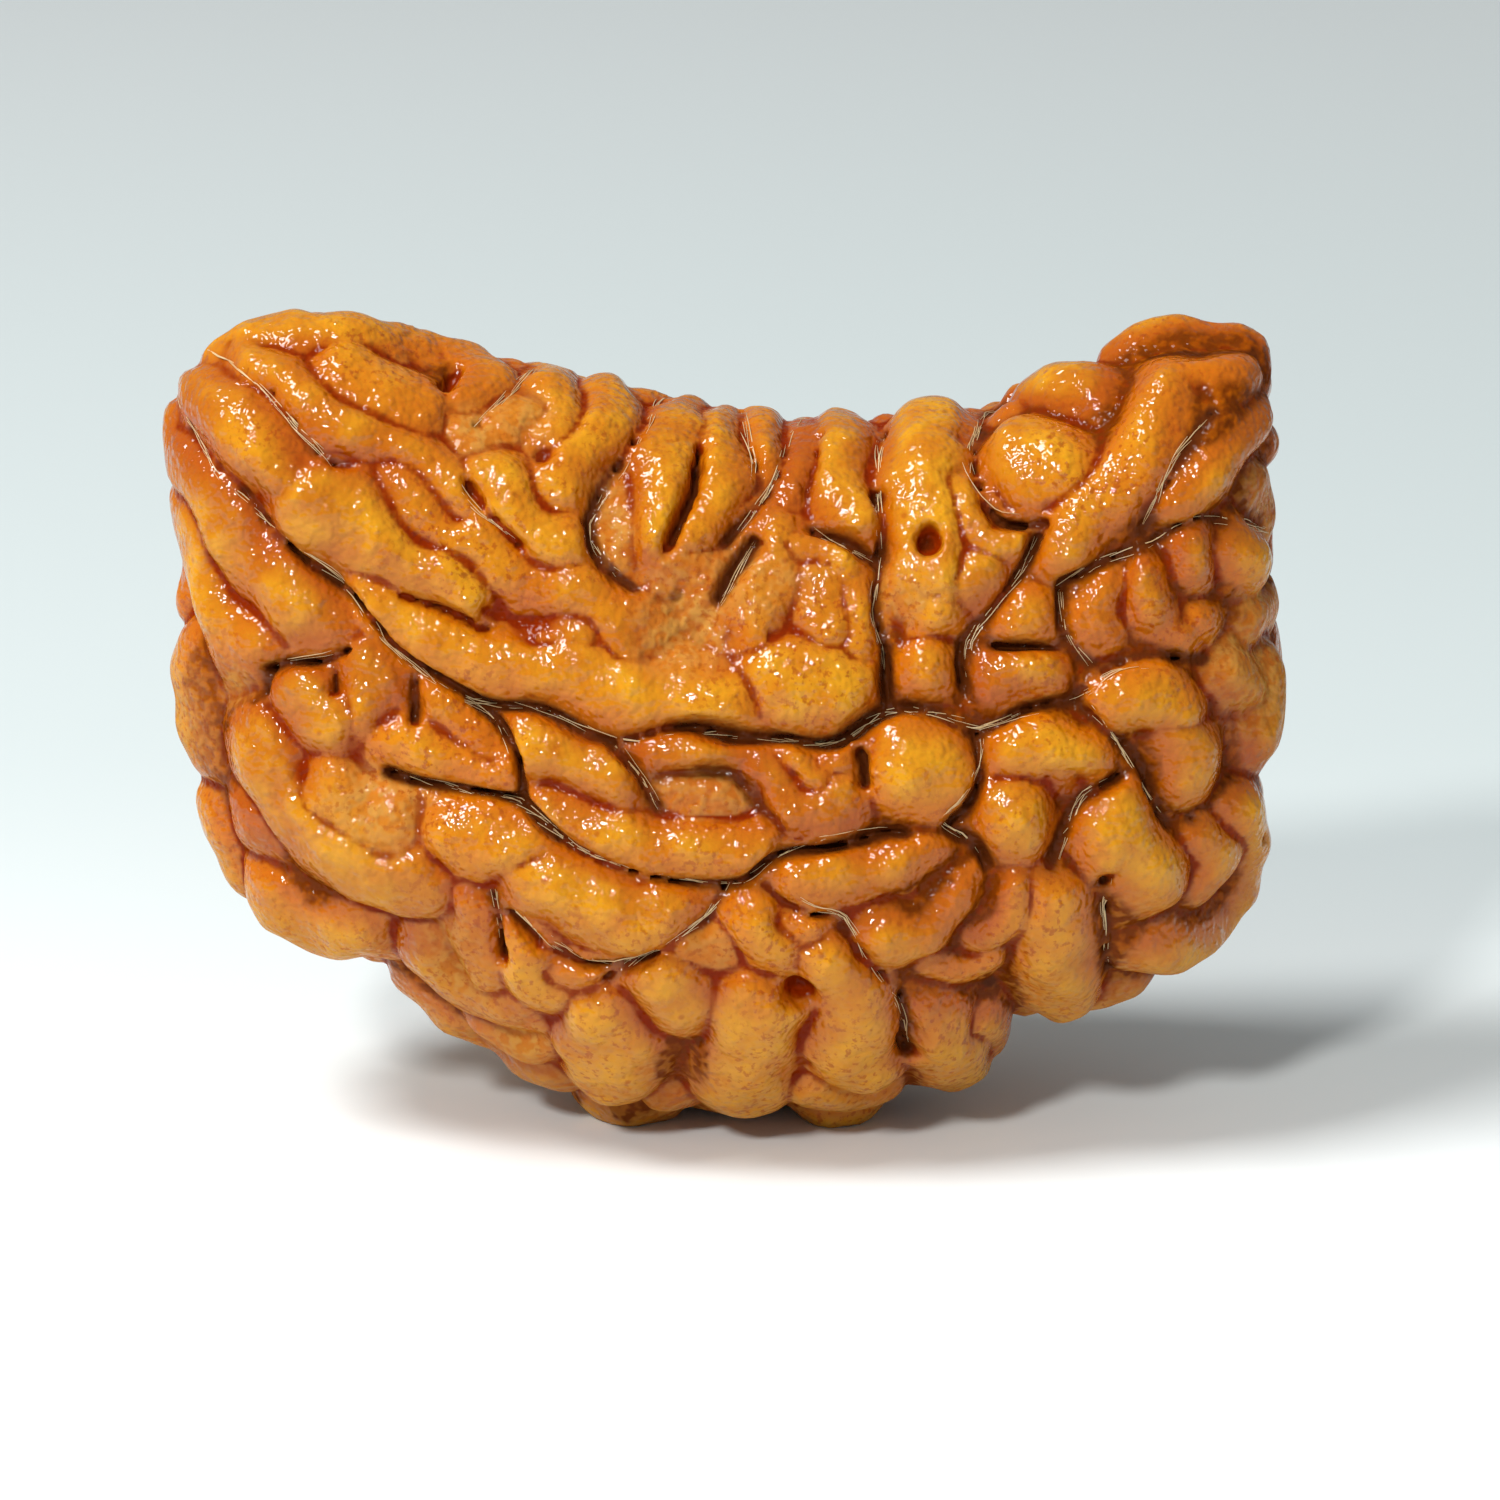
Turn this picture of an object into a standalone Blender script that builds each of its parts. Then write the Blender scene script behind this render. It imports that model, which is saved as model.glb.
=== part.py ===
"""A half-moon rudraksha seed, grown as one piece, standing on its convex edge.

The seed is one closed solid. A smooth lens-shaped kernel carries rounded ridges and knobs, and
fissures and pits are cut between them. All three are one distance field in millimetres, which is
skinned with a mesh and thinned. The seed runs along X, its shown face looks to -Y, and it stands
on the plane Z = 0 with the origin under the middle of its box.
"""

import math

import bmesh
import bpy
import numpy as np

NODE_NAME = "rudraksha_stone"
MM = 0.001

# Driving dimensions, in millimetres
SEED_LENGTH = 30.1
BELLY_HALF_THICKNESS = 6.05
RIM_HALF_THICKNESS = 3.05
BELLY_CENTRE = (0.4, 7.2)
BELLY_REACH = (13.0, 7.4)
KERNEL_INSET = 0.08
RIDGE_RISE = 0.95
RISE_BASE = 0.5
RISE_PER_RADIUS = 0.5
RISE_LIMIT = 1.1
RIDGE_GROWTH = (0.3, -0.1)
GROWTH_CHANGE = (2.0, 6.0)
RIDGE_ROUNDNESS = 0.5
RIDGE_JOIN = 0.12
WEB_RISE = 0.34
APRON_SHARE = 0.25
APRON_WIDTH = 0.45
SOFTENING = 0.3
MEETING_DEPTH = 0.18
MEETING_WIDTH = 0.36
GROOVE_BLEND = 0.12
FOOT_LEVEL = 0.05

# Unevenness of the relief, in millimetres: how far, and over what lengths
WANDER = 0.15
WANDER_LENGTHS = (2.2, 4.5)
LUMPS = 0.075
LUMP_LENGTHS = (1.1, 2.4)
WAVES = 9

# How the seed's shown face is laid out: from 16 degrees above, at arm's length, in millimetres
EYE_ELEVATION = math.radians(16.0)
EYE_DISTANCE = 166.7
EYE_AIM = (0.533, 9.867)
EYE_FOOT_Y = -1.0

# Skin of the solid
GRID_STEP = 0.3
GRID_LOW = (-17.2, -9.0, -1.8)
GRID_HIGH = (17.2, 9.0, 24.6)
MAP_STEP = 0.12
TRIANGLES = 11000
FOOT_SNAP = 0.12
RIDGE_REACH = 1.4
RELIEF_FLOOR = -1.6
RELIEF_TOP = 2.1
SEED = 108

# Look of the oiled stone
STONE_COLOUR = (0.58, 0.20, 0.035, 1.0)
STONE_ROUGHNESS = 0.35

# The kernel's outline as it is seen, about one ridge height inside the seed's own outline
KERNEL_OUTLINE = (
    (-14.0, 15.5), (-14.4, 18.2), (-13.6, 19.9), (-11.4, 20.8), (-8.8, 20.35), (-6.0, 19.6),
    (-3.0, 18.85), (0.0, 18.25), (3.0, 18.1), (6.0, 18.35), (9.0, 19.3), (11.5, 20.5),
    (13.9, 20.3), (14.0, 18.2), (14.1, 14.5), (14.2, 11.5), (13.5, 7.4), (11.9, 4.9),
    (9.1, 3.8), (7.6, 3.5), (6.0, 1.9), (3.0, 1.05), (0.0, 0.95), (-3.0, 1.15), (-6.0, 2.5),
    (-9.2, 4.8), (-12.0, 6.1), (-13.5, 9.0), (-14.1, 12.5),
)


def ridge(radius, *places, end=None, rise=None):
    """A rounded ridge or knob: its radius, its radius at the far end, its height and its route."""
    far = radius if end is None else end
    height = min(RISE_BASE + RISE_PER_RADIUS * radius, RISE_LIMIT) if rise is None else rise
    return {"radius": radius, "end": far, "rise": height, "places": places}


def groove(half_width, depth, *places):
    """A fissure or crease: its half width at the crests and its depth below them."""
    return {"half_width": half_width, "depth": depth, "places": places}


# Ridges of the left horn, from the outer edge inwards
LEFT_HORN = (
    ridge(1.05, (-13.2, 20.05), (-12.0, 20.45), (-10.5, 20.5), (-9.0, 20.4), end=0.9),
    ridge(0.75, (-8.7, 20.3), (-7.6, 20.5), (-6.8, 20.2), (-6.6, 19.5), (-6.9, 18.8)),
    ridge(1.15, (-10.2, 19.7), (-9.6, 19.2), (-8.9, 18.6), rise=0.85),
    ridge(0.65, (-6.2, 20.3), (-5.6, 20.05)),
    ridge(0.75, (-13.7, 20.1), (-12.8, 20.0), (-11.9, 19.5), (-11.0, 18.9), (-10.0, 18.3),
          (-9.0, 17.8), (-8.3, 17.4), (-7.8, 16.8), (-7.3, 16.2)),
    ridge(0.85, (-14.2, 19.5), (-13.4, 19.0), (-12.7, 18.3), (-12.1, 17.5), (-11.7, 17.0)),
    ridge(1.15, (-11.2, 16.6), (-10.3, 16.0), (-9.4, 15.5), (-8.5, 15.1), (-7.6, 14.6),
          (-6.8, 13.9), end=0.75),
    ridge(0.7, (-8.8, 16.7), (-8.0, 16.2), (-7.2, 15.7), (-6.5, 15.2), (-5.8, 14.9),
          (-5.0, 14.6), (-4.2, 14.3), (-3.4, 13.7), (-2.9, 12.9), end=0.9),
    ridge(1.0, (-6.7, 16.9), (-5.9, 16.4), (-5.2, 15.85), (-4.6, 15.45)),
    ridge(0.9, (-7.0, 18.0), (-6.3, 18.3), (-5.4, 18.4), rise=0.6),
)

# Ribs that run down from the saddle along the top
TOP_RIBS = (
    ridge(1.0, (-5.0, 19.8), (-4.9, 19.0), (-5.0, 18.1)),
    ridge(0.95, (-3.0, 19.4), (-3.3, 18.8), (-3.8, 18.0), (-4.3, 17.3), (-4.6, 16.8)),
    ridge(0.7, (-2.3, 19.3), (-1.7, 19.2)),
    ridge(0.9, (-1.0, 18.8), (-1.3, 18.0), (-1.7, 17.0), (-1.9, 16.2), (-2.0, 15.6)),
    ridge(0.8, (-0.4, 18.5), (-0.4, 17.6), (-0.4, 16.8), (-0.6, 16.0), (-0.8, 15.5)),
    ridge(0.6, (-3.2, 16.4), (-3.1, 15.7), (-3.0, 15.2), rise=0.45),
    ridge(0.85, (0.7, 18.7), (0.9, 18.0), (0.9, 17.3), end=0.4),
    ridge(0.55, (2.2, 18.7), (2.1, 17.9), (1.9, 17.1), (1.6, 16.4)),
    ridge(0.85, (2.9, 18.7), (2.9, 18.0), (2.9, 17.2), (3.0, 16.4), (3.2, 15.8)),
    ridge(1.3, (5.35, 18.2), (5.3, 17.2), (5.2, 16.2), (5.2, 15.2), (5.3, 14.3)),
    ridge(0.9, (6.0, 16.6), (6.5, 15.9), (7.1, 15.5), (7.8, 15.3)),
    ridge(0.6, (4.2, 19.05), (4.2, 18.6)),
    ridge(0.5, (6.1, 18.9), (6.4, 18.5), (6.2, 17.8)),
    ridge(1.2, (7.6, 17.5), (8.3, 17.2), (8.9, 17.3)),
    ridge(0.6, (7.4, 18.5)),
    ridge(1.2, (8.6, 19.05), (9.5, 19.1)),
)

# Ridges of the pointed right horn
RIGHT_HORN = (
    ridge(0.9, (10.4, 20.25), (11.5, 20.6), (12.5, 20.7), (13.4, 20.65), (14.2, 20.55),
          (14.9, 20.5), end=0.28),
    ridge(0.65, (11.6, 19.7), (12.4, 19.5), (13.1, 19.6), (13.6, 19.8), end=0.5),
    ridge(0.85, (11.7, 19.4), (11.4, 18.6), (11.0, 17.8), (10.6, 17.1), (10.0, 16.5),
          (9.4, 16.0), (8.9, 15.4), (8.7, 14.9)),
    ridge(0.72, (13.8, 18.5), (13.3, 18.1), (12.7, 17.6), (12.1, 17.0), (11.7, 16.5)),
    ridge(0.7, (13.8, 16.9), (14.3, 16.3), (14.6, 15.9), rise=0.6),
)

# Knobs round the smooth hollow in the upper middle
CENTRE = (
    ridge(0.6, (-1.6, 15.0), (-0.8, 14.7), (-0.3, 14.5), (-0.5, 13.9), rise=0.6),
    ridge(1.05, (1.1, 15.6), (1.0, 14.7), (0.8, 13.9), (0.6, 13.2), rise=0.75),
    ridge(0.8, (1.6, 15.3), (2.4, 15.0), (3.1, 14.5)),
    ridge(0.9, (2.3, 14.4), (2.5, 13.7), (2.6, 13.0)),
    ridge(0.75, (3.2, 14.4), (3.3, 13.3), (3.3, 12.5)),
    ridge(1.35, (1.3, 11.5), (2.1, 11.7), (2.8, 11.6)),
    ridge(0.95, (-9.5, 13.95), (-8.8, 13.4), (-8.0, 12.95), (-7.3, 12.6), (-6.5, 12.4),
          (-5.7, 12.35), (-5.0, 12.25), (-4.2, 12.0), (-3.4, 11.7), (-2.6, 11.4), (-1.8, 11.15),
          (-1.0, 10.95), (0.1, 11.0), end=1.05),
    ridge(0.7, (-5.0, 12.7), (-4.1, 12.6)),
    ridge(1.0, (6.6, 14.7), (6.2, 14.2)),
    ridge(0.9, (5.2, 14.0), (5.5, 13.4)),
)

# The hooked ridges between the two long fissures
MIDDLE_BAND = (
    ridge(0.95, (-5.1, 9.95), (-4.4, 9.85), (-3.7, 9.6), (-3.1, 9.2), (-2.7, 8.9), end=0.75),
    ridge(0.65, (-1.9, 9.5), (-1.2, 9.75), (-0.4, 9.85), (0.4, 9.7), (1.0, 9.3), (1.3, 8.7),
          (1.7, 8.2), (2.4, 8.4), (3.0, 8.8)),
    ridge(0.6, (1.6, 9.7), (2.2, 9.2)),
    ridge(0.6, (-1.6, 8.75), (-0.7, 8.85), (0.2, 8.65), rise=0.5),
    ridge(0.82, (-4.9, 8.2), (-4.0, 7.85), (-3.0, 7.55), (-2.0, 7.35), (-1.0, 7.2),
          (-0.2, 7.15), (0.7, 7.25)),
    ridge(1.35, (4.9, 9.45), (5.3, 9.45)),
    ridge(0.5, (2.6, 9.65), (3.5, 9.85)),
    ridge(1.05, (7.7, 9.85), (8.5, 9.8), (9.4, 9.8), end=0.75),
    ridge(0.6, (8.7, 9.2)),
    ridge(1.15, (7.2, 8.2), (7.6, 7.9)),
    ridge(0.95, (10.3, 11.3), (11.1, 11.3), (11.8, 10.9)),
    ridge(1.0, (11.8, 10.2), (12.0, 9.6), (12.1, 9.3)),
)

# Separate knobs on the right half
RIGHT_KNOBS = (
    ridge(0.95, (7.9, 13.3), (7.9, 12.9)),
    ridge(0.95, (7.4, 11.9), (8.2, 12.0)),
    ridge(0.85, (5.4, 12.0)),
    ridge(0.7, (9.9, 14.3), (9.7, 13.7), (9.8, 13.0)),
    ridge(0.7, (11.0, 14.4), (11.0, 13.7), (11.2, 13.2)),
    ridge(0.45, (11.3, 12.9), (12.1, 12.9)),
    ridge(0.65, (12.3, 13.2)),
    ridge(0.65, (12.0, 15.5), (12.1, 14.9), (12.3, 14.6)),
    ridge(0.95, (13.2, 15.2), (13.6, 14.8)),
    ridge(0.75, (13.6, 13.3), (14.3, 13.6), rise=0.7),
    ridge(0.9, (13.0, 12.0), (13.5, 11.5), rise=0.8),
    ridge(1.1, (14.0, 11.6), (13.7, 10.4), rise=0.9),
)

# Ridges of the left end
LEFT_END = (
    ridge(0.9, (-14.1, 16.4), (-13.6, 15.6), (-13.4, 14.5), (-13.2, 13.5), (-12.6, 13.0)),
    ridge(0.75, (-15.0, 19.0), (-14.45, 17.9), (-13.8, 16.9), (-13.1, 15.9), (-12.4, 15.0),
          (-11.6, 14.2), (-10.9, 13.6), end=1.15),
    ridge(0.5, (-14.3, 16.1), (-14.2, 15.3), (-14.2, 14.6), (-14.2, 13.6)),
    ridge(1.5, (-14.1, 12.0), (-13.9, 10.7), rise=0.95),
    ridge(0.85, (-11.1, 11.4), (-10.9, 10.8), (-10.3, 10.4)),
    ridge(0.8, (-9.9, 12.3), (-9.5, 11.6), (-9.6, 11.0), (-9.8, 10.4)),
    ridge(0.7, (-9.4, 10.1), (-8.6, 10.0), (-7.8, 9.9), (-7.0, 9.6), (-6.5, 9.5)),
    ridge(0.6, (-8.0, 11.1), (-7.6, 10.7), (-7.1, 10.3), (-6.6, 9.8)),
    ridge(1.0, (-12.1, 10.0), (-12.0, 9.4), (-11.4, 8.6), (-10.7, 7.9), (-9.9, 7.3),
          (-9.0, 6.9), (-8.3, 6.7)),
    ridge(1.1, (-10.6, 8.8), (-9.9, 8.3), (-9.1, 7.8), rise=0.8),
    ridge(0.95, (-13.3, 8.4), (-13.0, 7.5), (-12.8, 6.9)),
)

# Lobes of the lower belly
BELLY = (
    ridge(0.9, (-7.3, 7.7), (-6.4, 7.5), (-5.5, 7.3)),
    ridge(1.0, (-5.2, 6.8), (-4.4, 6.3), (-3.4, 5.8), (-2.4, 5.5), (-1.6, 5.7)),
    ridge(1.1, (-11.7, 6.0), (-11.1, 5.5), (-10.4, 5.4), (-9.7, 5.4)),
    ridge(0.75, (-8.5, 3.8), (-8.0, 3.3), (-7.4, 2.9), (-6.8, 2.5), (-6.0, 2.3)),
    ridge(0.95, (-8.0, 4.7), (-7.3, 4.2), (-6.8, 3.8), (-6.2, 3.5), (-5.7, 3.4), rise=0.8),
    ridge(0.7, (-6.9, 6.0), (-6.7, 5.4), (-6.5, 4.7), (-6.2, 4.0)),
    ridge(1.05, (-5.2, 4.9), (-5.1, 4.3), (-4.9, 3.8)),
    ridge(0.7, (-4.5, 4.2), (-3.9, 4.2)),
    ridge(0.75, (-6.0, 2.2), (-5.2, 1.9), (-4.5, 1.6)),
    ridge(1.2, (-3.3, 3.0), (-3.2, 2.4), (-3.2, 1.6)),
    ridge(0.95, (-1.9, 4.2), (-1.5, 3.8), (-1.2, 3.4)),
    ridge(0.8, (-1.2, 4.9), (-0.5, 4.7), rise=0.6),
    ridge(0.9, (0.7, 5.6), (1.1, 5.1), (1.3, 5.0)),
    ridge(0.6, (1.8, 5.5), (2.4, 5.3)),
    ridge(0.8, (1.9, 6.8), (2.6, 6.7), (3.3, 6.65), (4.0, 6.8), (4.8, 7.2), (5.3, 7.4), end=0.35),
    ridge(0.85, (4.0, 4.9), (4.5, 4.9), (5.1, 5.1), (5.6, 5.7), (6.1, 6.4), (6.3, 6.8), end=0.35),
    ridge(0.6, (6.7, 5.1), (7.2, 5.4), (7.5, 5.9), (7.6, 6.4)),
    ridge(0.45, (5.3, 4.3), (6.2, 4.3), (6.9, 4.6)),
    ridge(1.05, (8.6, 6.2), (8.5, 5.5), (8.6, 4.8), (8.7, 4.1), (8.8, 3.6)),
    ridge(0.9, (9.4, 3.4), (10.3, 3.6)),
    ridge(1.15, (10.2, 8.1), (10.4, 7.5), (10.8, 6.9), (11.1, 6.5)),
    ridge(1.0, (11.2, 4.9), (11.8, 4.9), (12.5, 5.4), (13.1, 6.2), (13.4, 7.0), (13.4, 7.8),
          (13.2, 8.3)),
    ridge(0.8, (12.4, 7.6), (12.8, 7.2), (12.4, 6.6)),
    ridge(1.05, (2.9, 4.4), (3.0, 3.8), (3.2, 3.0), (3.4, 2.2), (3.4, 1.6)),
    ridge(1.2, (0.6, 3.1), (0.6, 2.4), (0.4, 1.7), (0.5, 1.2)),
    ridge(0.8, (2.2, 1.2), (2.9, 1.1), (3.6, 1.1)),
    ridge(1.1, (5.2, 3.0), (5.7, 2.3), (6.0, 1.7)),
    ridge(0.9, (6.3, 2.9), (6.7, 2.3)),
)

FACE_RIDGES = (LEFT_HORN + TOP_RIBS + RIGHT_HORN + CENTRE + MIDDLE_BAND + RIGHT_KNOBS
               + LEFT_END + BELLY)

# The long fissures that run from horn to horn, and the deep gaps that branch from them
FISSURES = (
    groove(0.11, 1.20, (-14.4, 19.2), (-13.4, 17.5), (-12.2, 16.1), (-11.0, 15.0), (-10.0, 14.1),
           (-9.1, 12.8), (-8.0, 11.8), (-6.9, 11.2), (-5.3, 11.0), (-4.2, 10.6), (-3.0, 10.15),
           (-1.8, 10.2), (0.0, 10.25), (1.4, 10.15), (2.4, 10.0), (3.2, 10.3), (4.1, 10.9),
           (5.3, 10.85), (6.6, 10.5), (7.7, 10.9), (9.1, 11.2), (9.9, 11.9), (10.6, 12.2),
           (12.4, 12.4)),
    groove(0.21, 1.12, (-7.1, 11.2), (-6.3, 10.7), (-6.0, 10.2)),
    groove(0.10, 1.12, (-6.0, 10.2), (-5.8, 9.8), (-5.75, 9.2), (-5.7, 8.7)),
    groove(0.10, 1.20, (-8.9, 9.3), (-7.0, 8.8), (-5.6, 8.5), (-4.6, 7.7), (-3.5, 7.0),
           (-1.7, 6.6), (0.0, 6.4), (0.7, 6.6), (1.3, 7.1), (2.6, 7.6), (3.9, 7.8), (4.4, 7.7)),
    groove(0.08, 1.04, (-3.0, 10.0), (-2.3, 9.2), (-1.8, 8.3)),
    groove(0.09, 1.12, (0.0, 6.4), (-0.6, 5.5), (-2.2, 4.6), (-3.1, 4.0)),
    groove(0.09, 1.12, (1.0, 6.5), (2.3, 5.8), (3.0, 5.6), (3.5, 4.6), (4.3, 3.4), (4.8, 2.2)),
    groove(0.08, 1.04, (-6.2, 6.3), (-6.0, 5.4), (-5.9, 4.9)),
    groove(0.08, 1.04, (-5.9, 6.1), (-5.2, 5.5), (-4.0, 4.6), (-3.1, 4.4), (-1.5, 4.9)),
    groove(0.11, 1.28, (-12.2, 12.0), (-11.7, 12.3), (-10.8, 12.4), (-10.3, 12.6)),
    groove(0.08, 1.12, (-12.2, 12.0), (-12.1, 11.2)),
    groove(0.08, 1.12, (9.3, 11.2), (10.3, 10.1), (11.0, 8.9), (11.6, 7.9)),
    groove(0.10, 1.12, (9.9, 6.6), (9.9, 5.0), (10.1, 4.3)),
    groove(0.10, 1.12, (6.8, 3.9), (7.8, 3.0)),
    groove(0.09, 1.12, (8.7, 14.2), (9.7, 14.85), (11.3, 15.5), (12.1, 16.1), (13.5, 15.9),
           (14.4, 15.4)),
)

# Creases between neighbouring ribs, and the dark web between the knobs on the right
CREASES = (
    groove(0.07, 0.76, (-14.0, 20.1), (-12.6, 19.5), (-11.6, 18.5), (-10.6, 17.4), (-10.2, 17.2)),
    groove(0.07, 0.69, (-7.3, 16.8), (-6.6, 16.1), (-5.7, 15.5)),
    groove(0.06, 0.69, (-8.6, 14.15), (-7.4, 13.65), (-6.2, 13.2)),
    groove(0.10, 0.83, (-6.9, 18.2), (-5.5, 19.3), (-4.7, 19.7)),
    groove(0.10, 0.89, (-1.7, 19.0), (-2.3, 18.1), (-3.0, 17.0), (-3.8, 15.9), (-3.4, 14.9),
           (-2.6, 14.3)),
    groove(0.05, 0.56, (-0.9, 17.4), (-1.1, 16.6), (-1.4, 15.9), (-1.6, 15.4)),
    groove(0.07, 0.69, (0.2, 18.6), (0.35, 17.8), (0.6, 17.2), (0.55, 16.6)),
    groove(0.10, 0.83, (2.1, 18.7), (1.5, 17.5), (0.9, 16.5), (0.3, 15.7), (0.0, 15.2)),
    groove(0.06, 0.56, (2.45, 17.6), (2.3, 17.0), (2.1, 16.5)),
    groove(0.09, 0.83, (2.2, 15.6), (2.8, 15.3), (3.8, 14.8)),
    groove(0.10, 0.89, (4.1, 17.9), (4.0, 17.3), (3.95, 15.0), (3.8, 13.5), (4.1, 12.5),
           (4.3, 11.1)),
    groove(0.10, 0.89, (7.6, 19.4), (6.95, 18.6), (6.5, 17.6), (6.5, 16.8), (7.2, 16.0),
           (8.4, 15.8)),
    groove(0.09, 0.83, (12.7, 18.6), (12.0, 17.8), (11.2, 16.3), (10.9, 15.7)),
    groove(0.10, 0.96, (8.2, 15.5), (7.8, 14.6), (7.0, 13.6), (6.3, 12.7), (6.4, 11.6)),
    groove(0.10, 0.96, (8.8, 14.1), (8.9, 13.2), (9.6, 12.2)),
    groove(0.12, 0.96, (6.6, 10.4), (6.6, 9.4), (6.0, 8.5), (5.5, 8.0), (6.2, 7.6), (6.7, 6.9)),
    groove(0.10, 0.89, (8.6, 7.0), (9.0, 7.9), (9.3, 8.7), (10.2, 9.2)),
    groove(0.06, 0.63, (-8.5, 11.6), (-8.5, 10.6)),
    groove(0.07, 0.69, (-10.6, 12.1), (-10.5, 11.4)),
    groove(0.05, 0.63, (-1.9, 8.95), (-0.6, 9.35), (0.1, 9.35), (0.6, 8.5), (1.4, 7.7)),
    groove(0.05, 0.36, (2.3, 14.4), (1.9, 14.0), (1.6, 13.4), (1.3, 12.8)),
    groove(0.07, 0.69, (0.7, 15.3), (0.4, 14.8), (-0.3, 13.7)),
    groove(0.06, 0.69, (3.5, 9.9), (3.6, 9.0)),
    groove(0.09, 0.83, (7.1, 12.7), (8.8, 12.6)),
    groove(0.05, 0.40, (11.4, 20.1), (12.2, 20.2), (13.0, 20.1), (13.7, 20.2)),
    groove(0.06, 0.69, (12.2, 8.1), (13.4, 7.8)),
)

# Round pits and the smooth hollow
PITS = (
    groove(0.38, 0.95, (-7.6, 19.7), (-7.75, 19.3)),
    groove(0.30, 0.45, (-9.0, 20.7)),
    groove(0.34, 0.42, (-6.2, 17.8)),
    groove(0.26, 0.40, (-5.2, 17.4)),
    groove(0.20, 0.50, (5.1, 15.3)),
    groove(0.28, 0.50, (-1.5, 14.0)),
    groove(0.50, 0.80, (1.6, 3.8)),
    groove(0.32, 0.60, (2.1, 1.9)),
    groove(0.32, 0.60, (-9.0, 4.8)),
    groove(0.30, 0.50, (-6.1, 13.65), (-5.3, 13.5)),
    groove(1.3, 0.55, (-1.7, 13.0), (-0.6, 12.8)),
)

FACE_GROOVES = FISSURES + CREASES + PITS

# The low knobs that it stands on, as (x, y) under the belly
FEET = ((-2.9, -0.9), (3.0, -1.0), (-2.6, 1.7), (3.1, 1.6))
FOOT_RADIUS = 1.3
FOOT_RISE = 1.25

# Ridges that close the sides the face does not show
FILL_TRIES = 5200
FILL_CLEARANCE = 0.34
FILL_RADIUS = (0.62, 1.0)
FILL_RISE = (0.6, 1.0)
FILL_LINKS = (1, 5)
FILL_STRIDE = 0.75
BACK_SHIFT = 0.7
BACK_START_Y = 0.4
BACK_SPACING = 0.72


def rounded_line(places, steps, closed=False):
    """A smooth line through the given places, as rows of coordinates."""
    line = np.array(places, dtype=float)
    if len(line) < 3:
        return line
    before = np.roll(line, 1, axis=0)
    after = np.roll(line, -1, axis=0)
    if not closed:
        before[0] = line[0]
        after[-1] = line[-1]
    rows = []
    spans = len(line) if closed else len(line) - 1
    for i in range(spans):
        j = (i + 1) % len(line)
        leave = (after[i] - before[i]) / 2
        arrive = (after[j] - before[j]) / 2
        for step in range(steps):
            t = step / steps
            rows.append((2 * t**3 - 3 * t**2 + 1) * line[i] + (t**3 - 2 * t**2 + t) * leave
                        + (3 * t**2 - 2 * t**3) * line[j] + (t**3 - t**2) * arrive)
    if not closed:
        rows.append(line[-1])
    return np.array(rows)


def sight_lines(seen):
    """The eye's place, and the direction from it through each seen place (u, v)."""
    up = np.array((0.0, math.sin(EYE_ELEVATION), math.cos(EYE_ELEVATION)))
    forward = np.array((0.0, math.cos(EYE_ELEVATION), -math.sin(EYE_ELEVATION)))
    right = np.array((1.0, 0.0, 0.0))
    foot = np.array((0.0, EYE_FOOT_Y, 0.0))
    eye = foot + EYE_AIM[0] * right + EYE_AIM[1] * up - EYE_DISTANCE * forward
    seen = np.atleast_2d(seen)
    through = foot + seen[:, :1] * right + seen[:, 1:2] * up
    direction = through - eye
    return eye, direction / np.linalg.norm(direction, axis=1)[:, None]


def upright_outline():
    """The kernel's outline on the plane Y = 0, as (x, z) rows."""
    eye, direction = sight_lines(rounded_line(KERNEL_OUTLINE, 4, closed=True))
    reach = -eye[1] / direction[:, 1]
    points = eye + reach[:, None] * direction
    return points[:, (0, 2)]


OUTLINE = upright_outline()


def outline_depth(x, z):
    """Distance from the kernel's outline, positive inside it."""
    start = OUTLINE
    end = np.roll(OUTLINE, -1, axis=0)
    nearest = np.full(x.shape, 1e9)
    within = np.zeros(x.shape, dtype=bool)
    for (ax, az), (bx, bz) in zip(start, end):
        along = ((x - ax) * (bx - ax) + (z - az) * (bz - az)) / ((bx - ax)**2 + (bz - az)**2)
        along = np.clip(along, 0.0, 1.0)
        gap = (x - ax - along * (bx - ax))**2 + (z - az - along * (bz - az))**2
        nearest = np.minimum(nearest, gap)
        if az != bz:
            crosses = ((az > z) != (bz > z)) & (x < (bx - ax) * (z - az) / (bz - az) + ax)
            within ^= crosses
    return np.where(within, 1.0, -1.0) * np.sqrt(nearest)


def depth_map():
    """The outline's depth on a fine upright sheet, so that it is quick to look up."""
    x = np.arange(GRID_LOW[0], GRID_HIGH[0], MAP_STEP)
    z = np.arange(GRID_LOW[2], GRID_HIGH[2], MAP_STEP)
    return outline_depth(*np.meshgrid(x, z, indexing="ij")) - KERNEL_INSET


DEPTH_MAP = depth_map()


def inside_depth(x, z):
    """Depth inside the kernel's outline, read between the sheet's points."""
    across = np.clip((x - GRID_LOW[0]) / MAP_STEP, 0.0, DEPTH_MAP.shape[0] - 1.001)
    upward = np.clip((z - GRID_LOW[2]) / MAP_STEP, 0.0, DEPTH_MAP.shape[1] - 1.001)
    i, k = across.astype(int), upward.astype(int)
    a, b = across - i, upward - k
    lower = DEPTH_MAP[i, k] * (1 - a) + DEPTH_MAP[i + 1, k] * a
    upper = DEPTH_MAP[i, k + 1] * (1 - a) + DEPTH_MAP[i + 1, k + 1] * a
    return lower * (1 - b) + upper * b


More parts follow.
